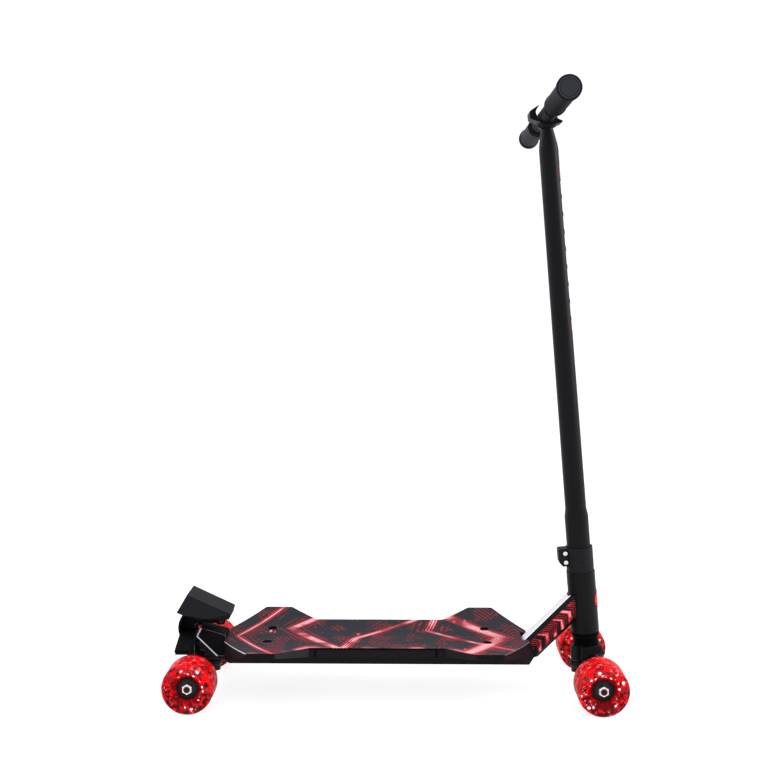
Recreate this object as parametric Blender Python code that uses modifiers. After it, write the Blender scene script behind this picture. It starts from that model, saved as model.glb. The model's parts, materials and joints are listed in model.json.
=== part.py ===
"""Four-wheeled carving scooter: moulded deck on a box-section frame, two lean-to-steer trucks,
a handlebar that turns the front truck, and a foot brake carried by the rear truck.

Metres, +X forward, +Y to the rider's left, +Z up. The origin is on the floor, in the centre
plane, midway between the two axles.
"""

from math import atan2, cos, hypot, pi, radians, sin, sqrt, tan

import bmesh
import bpy
from mathutils import Matrix, Vector

MM = 0.001
GAP = 0.3 * MM  # running clearance between touching pieces

# Overall sizes
AXLE_X = 279 * MM  # each axle from the middle of the wheelbase
WHEEL_R = 35 * MM
WHEEL_OUT = 110 * MM  # outer face of a wheel from the centre plane
WHEEL_WIDTH = 48 * MM
BAR_HALF = 206 * MM  # half of the width across the grips
BAR_Z = 805 * MM
REAR_AXLE = -AXLE_X
STEER_TILT = radians(5)
STEER_TRAIL = 3.8 * MM  # steering axis behind the front axle, at axle height

# Wheels
TREAD_ROUND = 6 * MM
HUB_R = 13.5 * MM
CORE_R = 22 * MM
BEARING_R = 11 * MM
BEARING_W = 7 * MM
BEARING_INSET = 11 * MM  # outer bearing behind the wheel's outer face
INNER_INSET = 3 * MM  # inner bearing behind the wheel's inner face
AXLE_R = 4 * MM
NUT_FLATS = 13 * MM
NUT_H = 6.5 * MM

# Trucks, in the truck's own plane: X toward the deck, Z up from the axle
KINGPIN_X = 20 * MM
RING_Z = 2.75 * MM
RING_T = 4.5 * MM
RING_R = 9.5 * MM
RING_BORE = 5.6 * MM
PIVOT_X = -12 * MM
PIVOT_Z = 18.75 * MM
PIVOT_R = 4.2 * MM
CUP_T = 3 * MM
BUSHING_UP = 4.4 * MM
BUSHING_LOW = 4.2 * MM
BUSHING_R = 7.5 * MM
KINGPIN_R = 4 * MM
KINGPIN_NUT_H = 5.5 * MM
KINGPIN_SEAT = 4.4 * MM  # length of the kingpin inside the truck base
BARREL_R = 11 * MM
ARM_END_R = 6.5 * MM
ARM_TAPER_Y = 57 * MM
FRONT_BASE_W = 32 * MM

# Frame
FRAME_W = 32 * MM
FRAME_WALL = 3 * MM
PAN_Z = WHEEL_R + 15 * MM  # underside of the frame and of the deck's flat pan
SPINE_H = 20 * MM
NECK_DEPTH = 30 * MM
NECK_RISE = radians(45.4)
NECK_TOP_X = AXLE_X - 96.3 * MM  # point on the neck's top face where it leaves the deck
NECK_TOP_Z = PAN_Z + 22.3 * MM
NECK_CHAMFER = 5 * MM
HEAD_R = 20 * MM
HEAD_BORE = 16.5 * MM
HEAD_LOW = 50.8 * MM  # these six run along the steering axis, from axle height
HEAD_TOP = 138 * MM
HEADSET_RING = 8 * MM
CROWN_LOW = 31.1 * MM
CROWN_TOP = 44.6 * MM
CLAMP_TOP = 172.7 * MM
RISER_BACK_X = REAR_AXLE - 4.6 * MM
RISER_BACK_Z = PAN_Z + 28.4 * MM
RISER_FOOT_X = REAR_AXLE + 24 * MM

# Deck
DECK_REAR = REAR_AXLE + 38 * MM
DECK_FRONT = AXLE_X - 90.4 * MM
DECK_EAR_Y = 105 * MM
DECK_WAIST_Y = 63.3 * MM
DECK_END_Y = 29.4 * MM
DECK_NOSE_Y = 23.5 * MM
DECK_FRONT_LEAN = 0.3  # how far the two slanted front sides run forward going down, per metre
DECK_MID_Z = PAN_Z + 25.5 * MM
DECK_DISH = 0.87  # rise of the top surface, in 1/m, times the distance from the middle squared
PAN_Y = 45 * MM
REAR_BOLT_X = DECK_REAR + 61 * MM
FRONT_BOLT_X = DECK_FRONT - 59.1 * MM
BOLT_Y = 29.7 * MM
BOLT_SEAT_R = 6.7 * MM
BOLT_HEAD_R = 4.6 * MM
BOLT_R = 2.5 * MM
BOLT_SEAT_DEPTH = 3 * MM

# Handlebar
STEERER_R = 12.5 * MM
STEM_R = 16.7 * MM
STEM_BORE = 12.8 * MM
STEM_MID_R = 14.9 * MM  # above the flare; the tube narrows to STEM_UP_R at its top
STEM_UP_R = 13.4 * MM
STEM_WALL = 2.3 * MM
STEM_NECK_R = 8.2 * MM
FLARE_LOW = 217.4 * MM  # along the steering axis, as above
FLARE_TOP = 227.6 * MM
BAR_ALONG = (BAR_Z - WHEEL_R) / cos(STEER_TILT)
TAPER_TOP = BAR_ALONG - 15.94 * MM
TAPER_LOW = TAPER_TOP - 29.2 * MM
STEERER_TOP = 212 * MM
CLAMP_R = 19.4 * MM
CLAMP_EAR = 30.2 * MM
CLAMP_SLIT = 2.6 * MM
CLAMP_BOLT_BACK = 20.9 * MM
SOCKET_R = 11.1 * MM
SOCKET_BORE = 9.7 * MM
SOCKET_HALF = 64.6 * MM
HANDLE_WALL = 1.8 * MM
GRIP_R = 13.8 * MM
GRIP_FLANGE_R = 15.5 * MM
SNAP_Y = 48 * MM
SNAP_R = 2.6 * MM

# Brake
PIN_X = REAR_AXLE + 33 * MM
PIN_Z = 2 * WHEEL_R + 33 * MM
PIN_R = 2.5 * MM
YOKE_HALF = 16.5 * MM
YOKE_BACK_X = REAR_AXLE - 18 * MM
YOKE_WALL_X = REAR_AXLE - 7.4 * MM
YOKE_ROOM = 1.6 * MM  # between the yoke and the pedal's curved back
BACK_X = REAR_AXLE + 4 * MM
BACK_Z = PIN_Z - 6 * MM
BACK_R = 29.7 * MM
BACK_T = 3 * MM
PEDAL_T = 3 * MM
PAD_GAP = 2 * MM  # brake pad above the top of the tread
PAD_T = 2.6 * MM
SPRING_TURNS = 4
SPRING_R = 4 * MM
SPRING_WIRE = 0.7 * MM

for old in list(bpy.data.objects):
    bpy.data.objects.remove(old, do_unlink=True)

PARTS = bpy.data.collections.new("carving_scooter")
TOOLS = bpy.data.collections.new("cutters")
bpy.context.scene.collection.children.link(PARTS)
bpy.context.scene.collection.children.link(TOOLS)

# Materials


def material(name, colour, roughness, metallic):
    made = bpy.data.materials.new(name)
    made.use_nodes = True
    shader = made.node_tree.nodes["Principled BSDF"]
    shader.inputs["Base Color"].default_value = (*colour, 1)
    shader.inputs["Roughness"].default_value = roughness
    shader.inputs["Metallic"].default_value = metallic
    made.diffuse_color = (*colour, 1)
    return made


BLACK = material("black_paint", (0.012, 0.012, 0.014), 0.35, 0.0)
BLACK_METAL = material("black_cast_metal", (0.02, 0.02, 0.022), 0.4, 0.6)
DECK_BLACK = material("deck_plastic", (0.015, 0.014, 0.016), 0.4, 0.0)
CHARCOAL = material("charcoal_plastic", (0.05, 0.05, 0.055), 0.5, 0.0)
GRIP_BLACK = material("grip_rubber", (0.03, 0.03, 0.032), 0.8, 0.0)
RED_CAST = material("red_urethane", (0.75, 0.02, 0.02), 0.15, 0.0)
BUSH_RED = material("bushing_urethane", (0.25, 0.02, 0.02), 0.4, 0.0)
CORE_WHITE = material("core_plastic", (0.55, 0.5, 0.5), 0.3, 0.0)
STEEL = material("bright_steel", (0.7, 0.7, 0.72), 0.25, 1.0)

# Shapes


def place(obj, paint=None, parent=None, location=(0, 0, 0), rotation=(0, 0, 0)):
    """A piece of the scooter when it has a paint, otherwise a cutter."""
    obj.location = location
    obj.rotation_euler = rotation
    obj.parent = parent
    if paint:
        obj.data.materials.clear()
        obj.data.materials.append(paint)
        PARTS.objects.link(obj)
    else:
        obj.hide_render = True
        obj.display_type = "WIRE"
        TOOLS.objects.link(obj)
    return obj


def frame_empty(name, location, rotation=(0, 0, 0), parent=None):
    empty = bpy.data.objects.new(name, None)
    empty.empty_display_size = 0.02
    empty.location = location
    empty.rotation_euler = rotation
    empty.parent = parent
    PARTS.objects.link(empty)
    return empty


def smooth(mesh, angle=radians(32)):
    mesh.shade_smooth()
    mesh.set_sharp_from_angle(angle=angle)


def turned(name, profile, steps=24, ring=False):
    """A profile of (radius, height) points spun about Z, listed from the top down its outer side."""
    mesh = bpy.data.meshes.new(name)
    bm = bmesh.new()
    points = [bm.verts.new((r, 0, z)) for r, z in profile]
    for first, second in zip(points, points[1:]):
        bm.edges.new((first, second))
    if ring:
        bm.edges.new((points[-1], points[0]))
    bm.to_mesh(mesh)
    bm.free()
    obj = bpy.data.objects.new(name, mesh)
    spin = obj.modifiers.new("spin", "SCREW")
    spin.angle = 2 * pi
    spin.steps = steps
    spin.render_steps = steps
    spin.use_merge_vertices = True
    spin.merge_threshold = 0.00001
    spin.use_normal_calculate = False
    spin.use_smooth_shade = True
    return obj


def tube(name, outer, bore, low, top, steps=24):
    return turned(name, [(outer, top), (outer, low), (bore, low), (bore, top)], steps, True)


def rod(name, radius, low, top, steps=24):
    return turned(name, [(0, top), (radius, top), (radius, low), (0, low)], steps)


def meshed(curve_obj, name):
    """The curve's solid as a mesh object with its caps welded."""
    bpy.context.scene.collection.objects.link(curve_obj)
    graph = bpy.context.evaluated_depsgraph_get()
    mesh = bpy.data.meshes.new_from_object(curve_obj.evaluated_get(graph))
    bm = bmesh.new()
    bm.from_mesh(mesh)
    bmesh.ops.remove_doubles(bm, verts=bm.verts, dist=0.000001)
    bmesh.ops.recalc_face_normals(bm, faces=bm.faces)
    bm.to_mesh(mesh)
    bm.free()
    bpy.data.objects.remove(curve_obj, do_unlink=True)
    mesh.name = name
    return bpy.data.objects.new(name, mesh)


def plate(name, outline, depth):
    """A flat outline in XY, filled and extruded to this depth about its plane."""
    data = bpy.data.curves.new(name, "CURVE")
    data.dimensions = "2D"
    data.fill_mode = "BOTH"
    data.extrude = depth / 2
    spline = data.splines.new("POLY")
    spline.points.add(len(outline) - 1)
    for point, (x, y) in zip(spline.points, outline):
        point.co = (x, y, 0, 1)
    spline.use_cyclic_u = True
    return meshed(bpy.data.objects.new(name, data), name)


def box(name, size, middle=(0, 0, 0)):
    mesh = bpy.data.meshes.new(name)
    bm = bmesh.new()
    bmesh.ops.create_cube(bm, size=1)
    bmesh.ops.scale(bm, vec=size, verts=bm.verts)
    bmesh.ops.translate(bm, vec=middle, verts=bm.verts)
    bm.to_mesh(mesh)
    bm.free()
    return bpy.data.objects.new(name, mesh)


def hexagon(name, flats, low, top, bore=0.0):
    mesh = bpy.data.meshes.new(name)
    bm = bmesh.new()
    bmesh.ops.create_cone(
        bm,
        cap_ends=True,
        segments=6,
        radius1=flats / sqrt(3),
        radius2=flats / sqrt(3),
        depth=top - low,
    )
    bmesh.ops.translate(bm, vec=(0, 0, (top + low) / 2), verts=bm.verts)
    bm.to_mesh(mesh)
    bm.free()
    obj = bpy.data.objects.new(name, mesh)
    if bore:
        cut(obj, place(rod(name + "_bore", bore, low - 0.01, top + 0.01, 20)))
    return obj


def rounded(corners, steps=3):
    """Outline points with a fillet at each (x, y, radius) corner."""
    out = []
    count = len(corners)
    for i, (x, y, radius) in enumerate(corners):
        if radius == 0:
            out.append((x, y))
            continue
        here = Vector((x, y))
        back = (Vector(corners[i - 1][:2]) - here).normalized()
        ahead = (Vector(corners[(i + 1) % count][:2]) - here).normalized()
        half = back.angle(ahead) / 2
        centre = here + (back + ahead).normalized() * radius / sin(half)
        start = here + back * radius / tan(half) - centre
        sweep = start.angle_signed(here + ahead * radius / tan(half) - centre)
        for step in range(steps + 1):
            turn = -sweep * step / steps
            x1 = start.x * cos(turn) - start.y * sin(turn)
            y1 = start.x * sin(turn) + start.y * cos(turn)
            out.append((centre.x + x1, centre.y + y1))
    return out


def arc(cx, cy, radius, first, last, steps):
    """Points on an arc between two angles in degrees."""
    angles = [radians(first + (last - first) * i / steps) for i in range(steps + 1)]
    return [(cx + radius * cos(a), cy + radius * sin(a)) for a in angles]


def boolean(target, other, operation):
    step = target.modifiers.new(other.name, "BOOLEAN")
    step.operation = operation
    step.object = other
    step.solver = "EXACT"
    return target


def cut(target, other):
    return boolean(target, other, "DIFFERENCE")


def fuse(target, other):
    return boolean(target, other, "UNION")


def bevel(target, width, segments=1, angle=radians(30)):
    edge = target.modifiers.new("edges", "BEVEL")
    edge.width = width
    edge.segments = segments
    edge.limit_method = "ANGLE"
    edge.angle_limit = angle
    edge.use_clamp_overlap = True
    edge.miter_outer = "MITER_SHARP"
    return target


UPRIGHT = (pi / 2, 0, 0)  # turns an XY outline into the XZ plane
TO_LEFT = (-pi / 2, 0, 0)  # turns the Z axis of a turned piece to +Y
TO_RIGHT = (pi / 2, 0, 0)

# Deck


def deck_outline():
    half = [
        (DECK_REAR, DECK_END_Y, 2 * MM),
        (DECK_REAR + 42 * MM, DECK_EAR_Y, 5 * MM),
        (DECK_REAR + 81 * MM, DECK_EAR_Y, 5 * MM),
        (DECK_REAR + 122.6 * MM, DECK_WAIST_Y, 9 * MM),
        (DECK_FRONT - 118.9 * MM, DECK_WAIST_Y, 9 * MM),
        (DECK_FRONT - 78.6 * MM, DECK_EAR_Y, 5 * MM),
        (DECK_FRONT - 40.9 * MM, DECK_EAR_Y, 5 * MM),
        (DECK_FRONT, DECK_NOSE_Y, 0),
        (DECK_FRONT + 12 * MM, DECK_NOSE_Y - 0.5 * MM, 0),
    ]
    other = [(x, -y, r) for x, y, r in reversed(half)]
    return rounded(half + other, 2)


def deck_top(y):
    return DECK_MID_Z + DECK_DISH * y * y


reach = DECK_EAR_Y + 5 * MM
dish = [(reach * (i / 7 - 1), deck_top(reach * (i / 7 - 1))) for i in range(15)]
hull = [
    (reach, PAN_Z + 28.9 * MM),
    (DECK_EAR_Y, PAN_Z + 27.5 * MM),
    (DECK_WAIST_Y, PAN_Z + 16 * MM),
    (PAN_Y, PAN_Z),
]
section = dish + hull + [(-y, z) for y, z in reversed(hull)]
nose_z = PAN_Z + 4.7 * MM
nose_lean = (10 * MM) / (19.2 * MM)
nose_x = DECK_FRONT + (DECK_MID_Z + DECK_DISH * DECK_NOSE_Y**2 - nose_z) * nose_lean
side = [
    (DECK_REAR, PAN_Z),
    (DECK_FRONT - 2 * MM, PAN_Z),
    (nose_x, nose_z),
    (nose_x - 46 * MM * nose_lean, nose_z + 46 * MM),
    (DECK_REAR, nose_z + 46 * MM),
    (DECK_REAR, PAN_Z + 20 * MM),
]

deck = place(plate("deck", deck_outline(), 80 * MM), DECK_BLACK, None, (0, 0, PAN_Z + 20 * MM))
for vertex in deck.data.vertices:
    if vertex.co.x > DECK_FRONT - 50 * MM:
        height = PAN_Z + 20 * MM + vertex.co.z
        vertex.co.x += DECK_FRONT_LEAN * (DECK_MID_Z + 4 * MM - height)
long_section = place(
    plate("deck_section", section, 3 * AXLE_X), None, None, (0, 0, 0), (pi / 2, 0, pi / 2)
)
boolean(deck, long_section, "INTERSECT")
boolean(deck, place(plate("deck_side", side, 0.3), None, None, (0, 0, 0), UPRIGHT), "INTERSECT")

spine_top = PAN_Z + SPINE_H
half_w = FRAME_W / 2
neck_dir = Vector((cos(NECK_RISE), 0, sin(NECK_RISE)))
neck_up = Vector((-sin(NECK_RISE), 0, cos(NECK_RISE)))


def neck_top_x(z):
    """Where the neck's top face has this height."""
    return NECK_TOP_X + (z - NECK_TOP_Z) / tan(NECK_RISE)


notch_x = neck_top_x(spine_top) - 0.6 * MM
channel_front = DECK_FRONT + 30 * MM
cut(
    deck,
    place(
        box(
            "deck_channel",
            (channel_front - DECK_REAR + 0.02, FRAME_W + 2 * GAP, SPINE_H + GAP + 0.02),
            (
                (channel_front + DECK_REAR - 0.02) / 2,
                0,
                spine_top + GAP - (SPINE_H + GAP + 0.02) / 2,
            ),
        )
    ),
)
cut(
    deck,
    place(
        box(
            "deck_notch",
            (channel_front - notch_x, FRAME_W + 2 * GAP, 60 * MM),
            ((channel_front + notch_x) / 2, 0, PAN_Z + 20 * MM),
        )
    ),
)
PLATE_L = 30 * MM
PLATE_HALF = BOLT_Y + 10 * MM
PLATE_T = 4 * MM
for i, x in enumerate((REAR_BOLT_X, FRONT_BOLT_X)):
    slot = box(
        f"deck_plate_slot_{i + 1}",
        (PLATE_L + 2 * GAP, 2 * (PLATE_HALF + GAP), SPINE_H + GAP + 0.02),
        (x, 0, spine_top + GAP - (SPINE_H + GAP + 0.02) / 2),
    )
    cut(deck, place(slot))

# Ribbed pockets in the pan, either side of the frame channel
POCKETS = 5
POCKET_RIB = 4 * MM
pocket_low = REAR_BOLT_X + PLATE_L / 2 + 8 * MM
pocket_top = FRONT_BOLT_X - PLATE_L / 2 - 8 * MM
pitch = (pocket_top - pocket_low) / POCKETS
for i in range(POCKETS):
    for side_name, sign in (("left", 1), ("right", -1)):
        low_y = half_w + 4 * MM
        high_y = PAN_Y - 3 * MM
        pocket = box(
            f"deck_pocket_{side_name}_{i + 1}",
            (pitch - POCKET_RIB, high_y - low_y, 36 * MM),
            (pocket_low + pitch * (i + 0.5), sign * (low_y + high_y) / 2, PAN_Z),
        )
        cut(deck, place(pocket))

bolt_top = deck_top(BOLT_Y)
seat_z = bolt_top - BOLT_SEAT_DEPTH
bolts = [(x, y) for x in (REAR_BOLT_X, FRONT_BOLT_X) for y in (BOLT_Y, -BOLT_Y)]
for i, (x, y) in enumerate(bolts):
    seat = turned(
        f"deck_bolt_seat_{i + 1}",
        [
            (0, bolt_top + 6 * MM),
            (BOLT_SEAT_R, bolt_top + 6 * MM),
            (BOLT_SEAT_R, seat_z),
            (BOLT_R + GAP, seat_z),
            (BOLT_R + GAP, PAN_Z),
            (0, PAN_Z),
        ],
        14,
    )
    cut(deck, place(seat, None, None, (x, y, 0)))
    head = turned(
        f"deck_bolt_{i + 1}",
        [
            (0, seat_z + 2.2 * MM),
            (BOLT_HEAD_R * 0.6, seat_z + 2.2 * MM),
            (BOLT_HEAD_R, seat_z + 1.2 * MM),
            (BOLT_HEAD_R, seat_z + GAP),
            (BOLT_R, seat_z + GAP),
            (BOLT_R, spine_top - PLATE_T - 3 * MM),
            (0, spine_top - PLATE_T - 3 * MM),
        ],
        12,
    )
    place(head, STEEL, None, (x, y, 0))
smooth(deck.data)

# Frame: spine with its two cross plates, neck, head tube and rear riser

mitre = GAP / sin(NECK_RISE)
spine_outline = [
    (DECK_REAR, PAN_Z),
    (neck_top_x(PAN_Z) - mitre, PAN_Z),
    (neck_top_x(spine_top) - mitre, spine_top),
    (DECK_REAR, spine_top),
]
spine = place(plate("spine", spine_outline, FRAME_W), BLACK, None, (0, 0, 0), UPRIGHT)
bevel(spine, 1.5 * MM, 1)
cut(
    spine,
    place(
        box(
            "spine_hollow",
            (3 * AXLE_X, FRAME_W - 2 * FRAME_WALL, SPINE_H - 2 * FRAME_WALL),
            (0, 0, PAN_Z + SPINE_H / 2),
        )
    ),
)
for i, x in enumerate((REAR_BOLT_X, FRONT_BOLT_X)):
    for side_name, sign in (("left", 1), ("right", -1)):
        wing = box(
            f"cross_plate_{side_name}_{i + 1}",
            (PLATE_L, PLATE_HALF - half_w + 1.5 * MM, PLATE_T),
            (x, sign * (PLATE_HALF + half_w - 1.5 * MM) / 2, spine_top - 1.6 * MM - PLATE_T / 2),
        )
        fuse(spine, place(wing))
for i, (x, y) in enumerate(bolts):
    hole = rod(f"cross_plate_hole_{i + 1}", BOLT_R + GAP, PAN_Z, spine_top + 2 * MM, 16)
    cut(spine, place(hole, None, None, (x, y, 0)))

steer_x = AXLE_X - STEER_TRAIL
steering = frame_empty("steering_axis", (steer_x, 0, WHEEL_R), (0, -STEER_TILT, 0))


def on_axis(height):
    """World point on the steering axis at this height."""
    return Vector((steer_x - (height - WHEEL_R) * tan(STEER_TILT), 0, height))


neck_start = Vector((NECK_TOP_X, 0, NECK_TOP_Z)) - neck_up * NECK_DEPTH / 2
gap_x = on_axis(NECK_TOP_Z).x - neck_start.x
neck_length = gap_x / (neck_dir.x + neck_dir.z * tan(STEER_TILT))
LOW_TAIL = 45 * MM
neck_end = neck_length - 2 * MM
neck = box(
    "neck",
    (neck_end + LOW_TAIL, FRAME_W, NECK_DEPTH),
    ((neck_end - LOW_TAIL) / 2, 0, 0),
)
place(neck, BLACK, None, neck_start, (0, -NECK_RISE, 0))
bevel(neck, NECK_CHAMFER, 1)
neck_bore = box(
    "neck_hollow",
    (0.5, FRAME_W - 2 * FRAME_WALL - 4 * MM, NECK_DEPTH - 2 * FRAME_WALL - 4 * MM),
)
cut(neck, place(neck_bore, None, None, neck_start, (0, -NECK_RISE, 0)))
cut(neck, place(box("neck_foot_cut", (0.3, 0.2, 0.1), (0.15, 0, PAN_Z - 0.05))))
head_space = rod("head_tube_space", HEAD_R + GAP, HEAD_LOW, HEAD_TOP + 30 * MM, 28)
cut(neck, place(head_space, None, steering))

head_tube = tube("head_tube", HEAD_R, HEAD_BORE, HEAD_LOW, HEAD_TOP, 28)
place(head_tube, BLACK, steering)

riser_slope = (RISER_FOOT_X - RISER_BACK_X) / (RISER_BACK_Z - PAN_Z)
riser_outline = [
    (DECK_REAR - GAP, PAN_Z, 0),
    (DECK_REAR - GAP, PAN_Z + 30.3 * MM, 2 * MM),
    (REAR_AXLE + 2 * MM, PAN_Z + 41.2 * MM, 3 * MM),
    (RISER_BACK_X, RISER_BACK_Z, 2 * MM),
    (RISER_FOOT_X, PAN_Z, 2 * MM),
]
riser = plate("rear_riser", rounded(riser_outline, 2), FRAME_W)
place(riser, BLACK, None, (0, 0, 0), UPRIGHT)
bevel(riser, 1.5 * MM, 1)

# Headset


def spigot(name, flange_r, flange_low, flange_top, spigot_low, spigot_top):
    profile = [
        (flange_r, flange_top),
        (flange_r, flange_low),
        (HEAD_BORE - GAP, flange_low),
        (HEAD_BORE - GAP, spigot_low),
        (STEERER_R + GAP, spigot_low),
        (STEERER_R + GAP, flange_top),
    ]
    if spigot_top:
        profile = [
            (HEAD_BORE - GAP, spigot_top),
            (HEAD_BORE - GAP, flange_top),
            (flange_r, flange_top),
            (flange_r, flange_low),
            (STEERER_R + GAP, flange_low),
            (STEERER_R + GAP, spigot_top),
        ]
    return turned(name, profile, 20, True)


lower = spigot(
    "headset_lower", HEAD_R - 0.6 * MM, CROWN_TOP + GAP, HEAD_LOW - GAP, 0, HEAD_LOW + 9 * MM
)
place(lower, BLACK_METAL, steering)
upper = spigot(
    "headset_upper", HEAD_R - 0.6 * MM, HEAD_TOP + GAP, HEAD_TOP + HEADSET_RING, HEAD_TOP - 9 * MM, 0
)
place(upper, BLACK_METAL, steering)

# Steering: fork, stem, collar, bar

CROWN_R = 17.5 * MM
fork = turned(
    "fork",
    [
        (0, STEERER_TOP),
        (STEERER_R, STEERER_TOP),
        (STEERER_R, CROWN_TOP),
        (CROWN_R - 1 * MM, CROWN_TOP),
        (CROWN_R, CROWN_TOP - 1 * MM),
        (CROWN_R, CROWN_LOW),
        (0, CROWN_LOW),
    ],
    20,
)
place(fork, BLACK_METAL, steering)
fork_bore = rod("fork_bore", STEERER_R - 3 * MM, CROWN_LOW + 12 * MM, STEERER_TOP + 0.01, 20)
cut(fork, place(fork_bore, None, steering))

STEM_LOW = HEAD_TOP + HEADSET_RING + GAP
bar_s = BAR_ALONG
stem = turned(
    "stem",
    [
        (0, bar_s - SOCKET_R + 4 * MM),
        (STEM_NECK_R, bar_s - SOCKET_R + 4 * MM),
        (STEM_NECK_R, TAPER_TOP),
        (STEM_UP_R - 0.6 * MM, TAPER_LOW + 6 * MM),
        (STEM_UP_R, TAPER_LOW),
        (STEM_MID_R, FLARE_TOP),
        (STEM_R, FLARE_LOW),
        (STEM_R, STEM_LOW),
        (STEM_BORE, STEM_LOW),
        (STEM_BORE, FLARE_LOW),
        (STEM_MID_R - STEM_WALL, FLARE_TOP),
        (STEM_UP_R - STEM_WALL, TAPER_LOW),
        (STEM_NECK_R - 2 * MM, TAPER_TOP),
        (0, TAPER_TOP),
    ],
    20,
)
place(stem, BLACK, steering)
clamp_low = STEM_LOW + GAP
slit = box(
    "stem_slit",
    (20 * MM, CLAMP_SLIT, 44 * MM),
    (-STEM_R, 0, STEM_LOW + 21 * MM),
)
cut(stem, place(slit, None, steering))
cut(
    stem,
    place(
        rod("bar_seat", SOCKET_R + GAP, -0.05, 0.05, 24), None, steering, (0, 0, bar_s), TO_LEFT
    ),
)

clamp = rod("collar_clamp", CLAMP_R, clamp_low, CLAMP_TOP, 24)
place(clamp, BLACK_METAL, steering)
EAR_Y = 16 * MM
ear_mid = (clamp_low + CLAMP_TOP) / 2
ear_outline = [
    (-CLAMP_R / 2, clamp_low + 0.3 * MM, 0),
    (-CLAMP_R / 2, CLAMP_TOP - 0.3 * MM, 0),
    (-CLAMP_EAR, CLAMP_TOP - 0.3 * MM, 2 * MM),
    (-CLAMP_EAR, clamp_low + 7 * MM, 1.5 * MM),
    (-CLAMP_EAR + 5 * MM, clamp_low + 0.3 * MM, 1.5 * MM),
]
ear = plate("clamp_ear", rounded(ear_outline, 2), EAR_Y)
fuse(clamp, place(ear, None, steering, (0, 0, 0), UPRIGHT))
clamp_bore = rod("clamp_bore", STEM_R + 2 * GAP, clamp_low - 1 * MM, CLAMP_TOP + 1 * MM, 24)
cut(clamp, place(clamp_bore, None, steering))
cut(
    clamp,
    place(
        box("clamp_slit", (30 * MM, CLAMP_SLIT, 60 * MM), (-STEM_R - 14 * MM, 0, ear_mid)),
        None,
        steering,
    ),
)
bolt_r, bolt_head_r = 2 * MM, 3 * MM
for i, s in enumerate((ear_mid - 6.5 * MM, ear_mid + 6.5 * MM)):
    spot = (-CLAMP_BOLT_BACK, 0, s)
    hole = rod(f"clamp_hole_{i + 1}", bolt_r + GAP, -0.03, 0.03, 16)
    cut(clamp, place(hole, None, steering, spot, TO_RIGHT))
    face = EAR_Y / 2 + GAP
    bolt = turned(
        f"clamp_bolt_{i + 1}",
        [
            (0, face + 2.4 * MM),
            (bolt_head_r * 0.5, face + 2.4 * MM),
            (bolt_head_r * 0.5, face + 3.6 * MM),
            (bolt_head_r, face + 3 * MM),
            (bolt_head_r, face),
            (bolt_r, face),
            (bolt_r, -face),
            (bolt_head_r, -face),
            (bolt_head_r, -face - 3.5 * MM),
            (0, -face - 3.5 * MM),
        ],
        12,
    )
    place(bolt, STEEL, steering, spot, TO_RIGHT)

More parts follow.
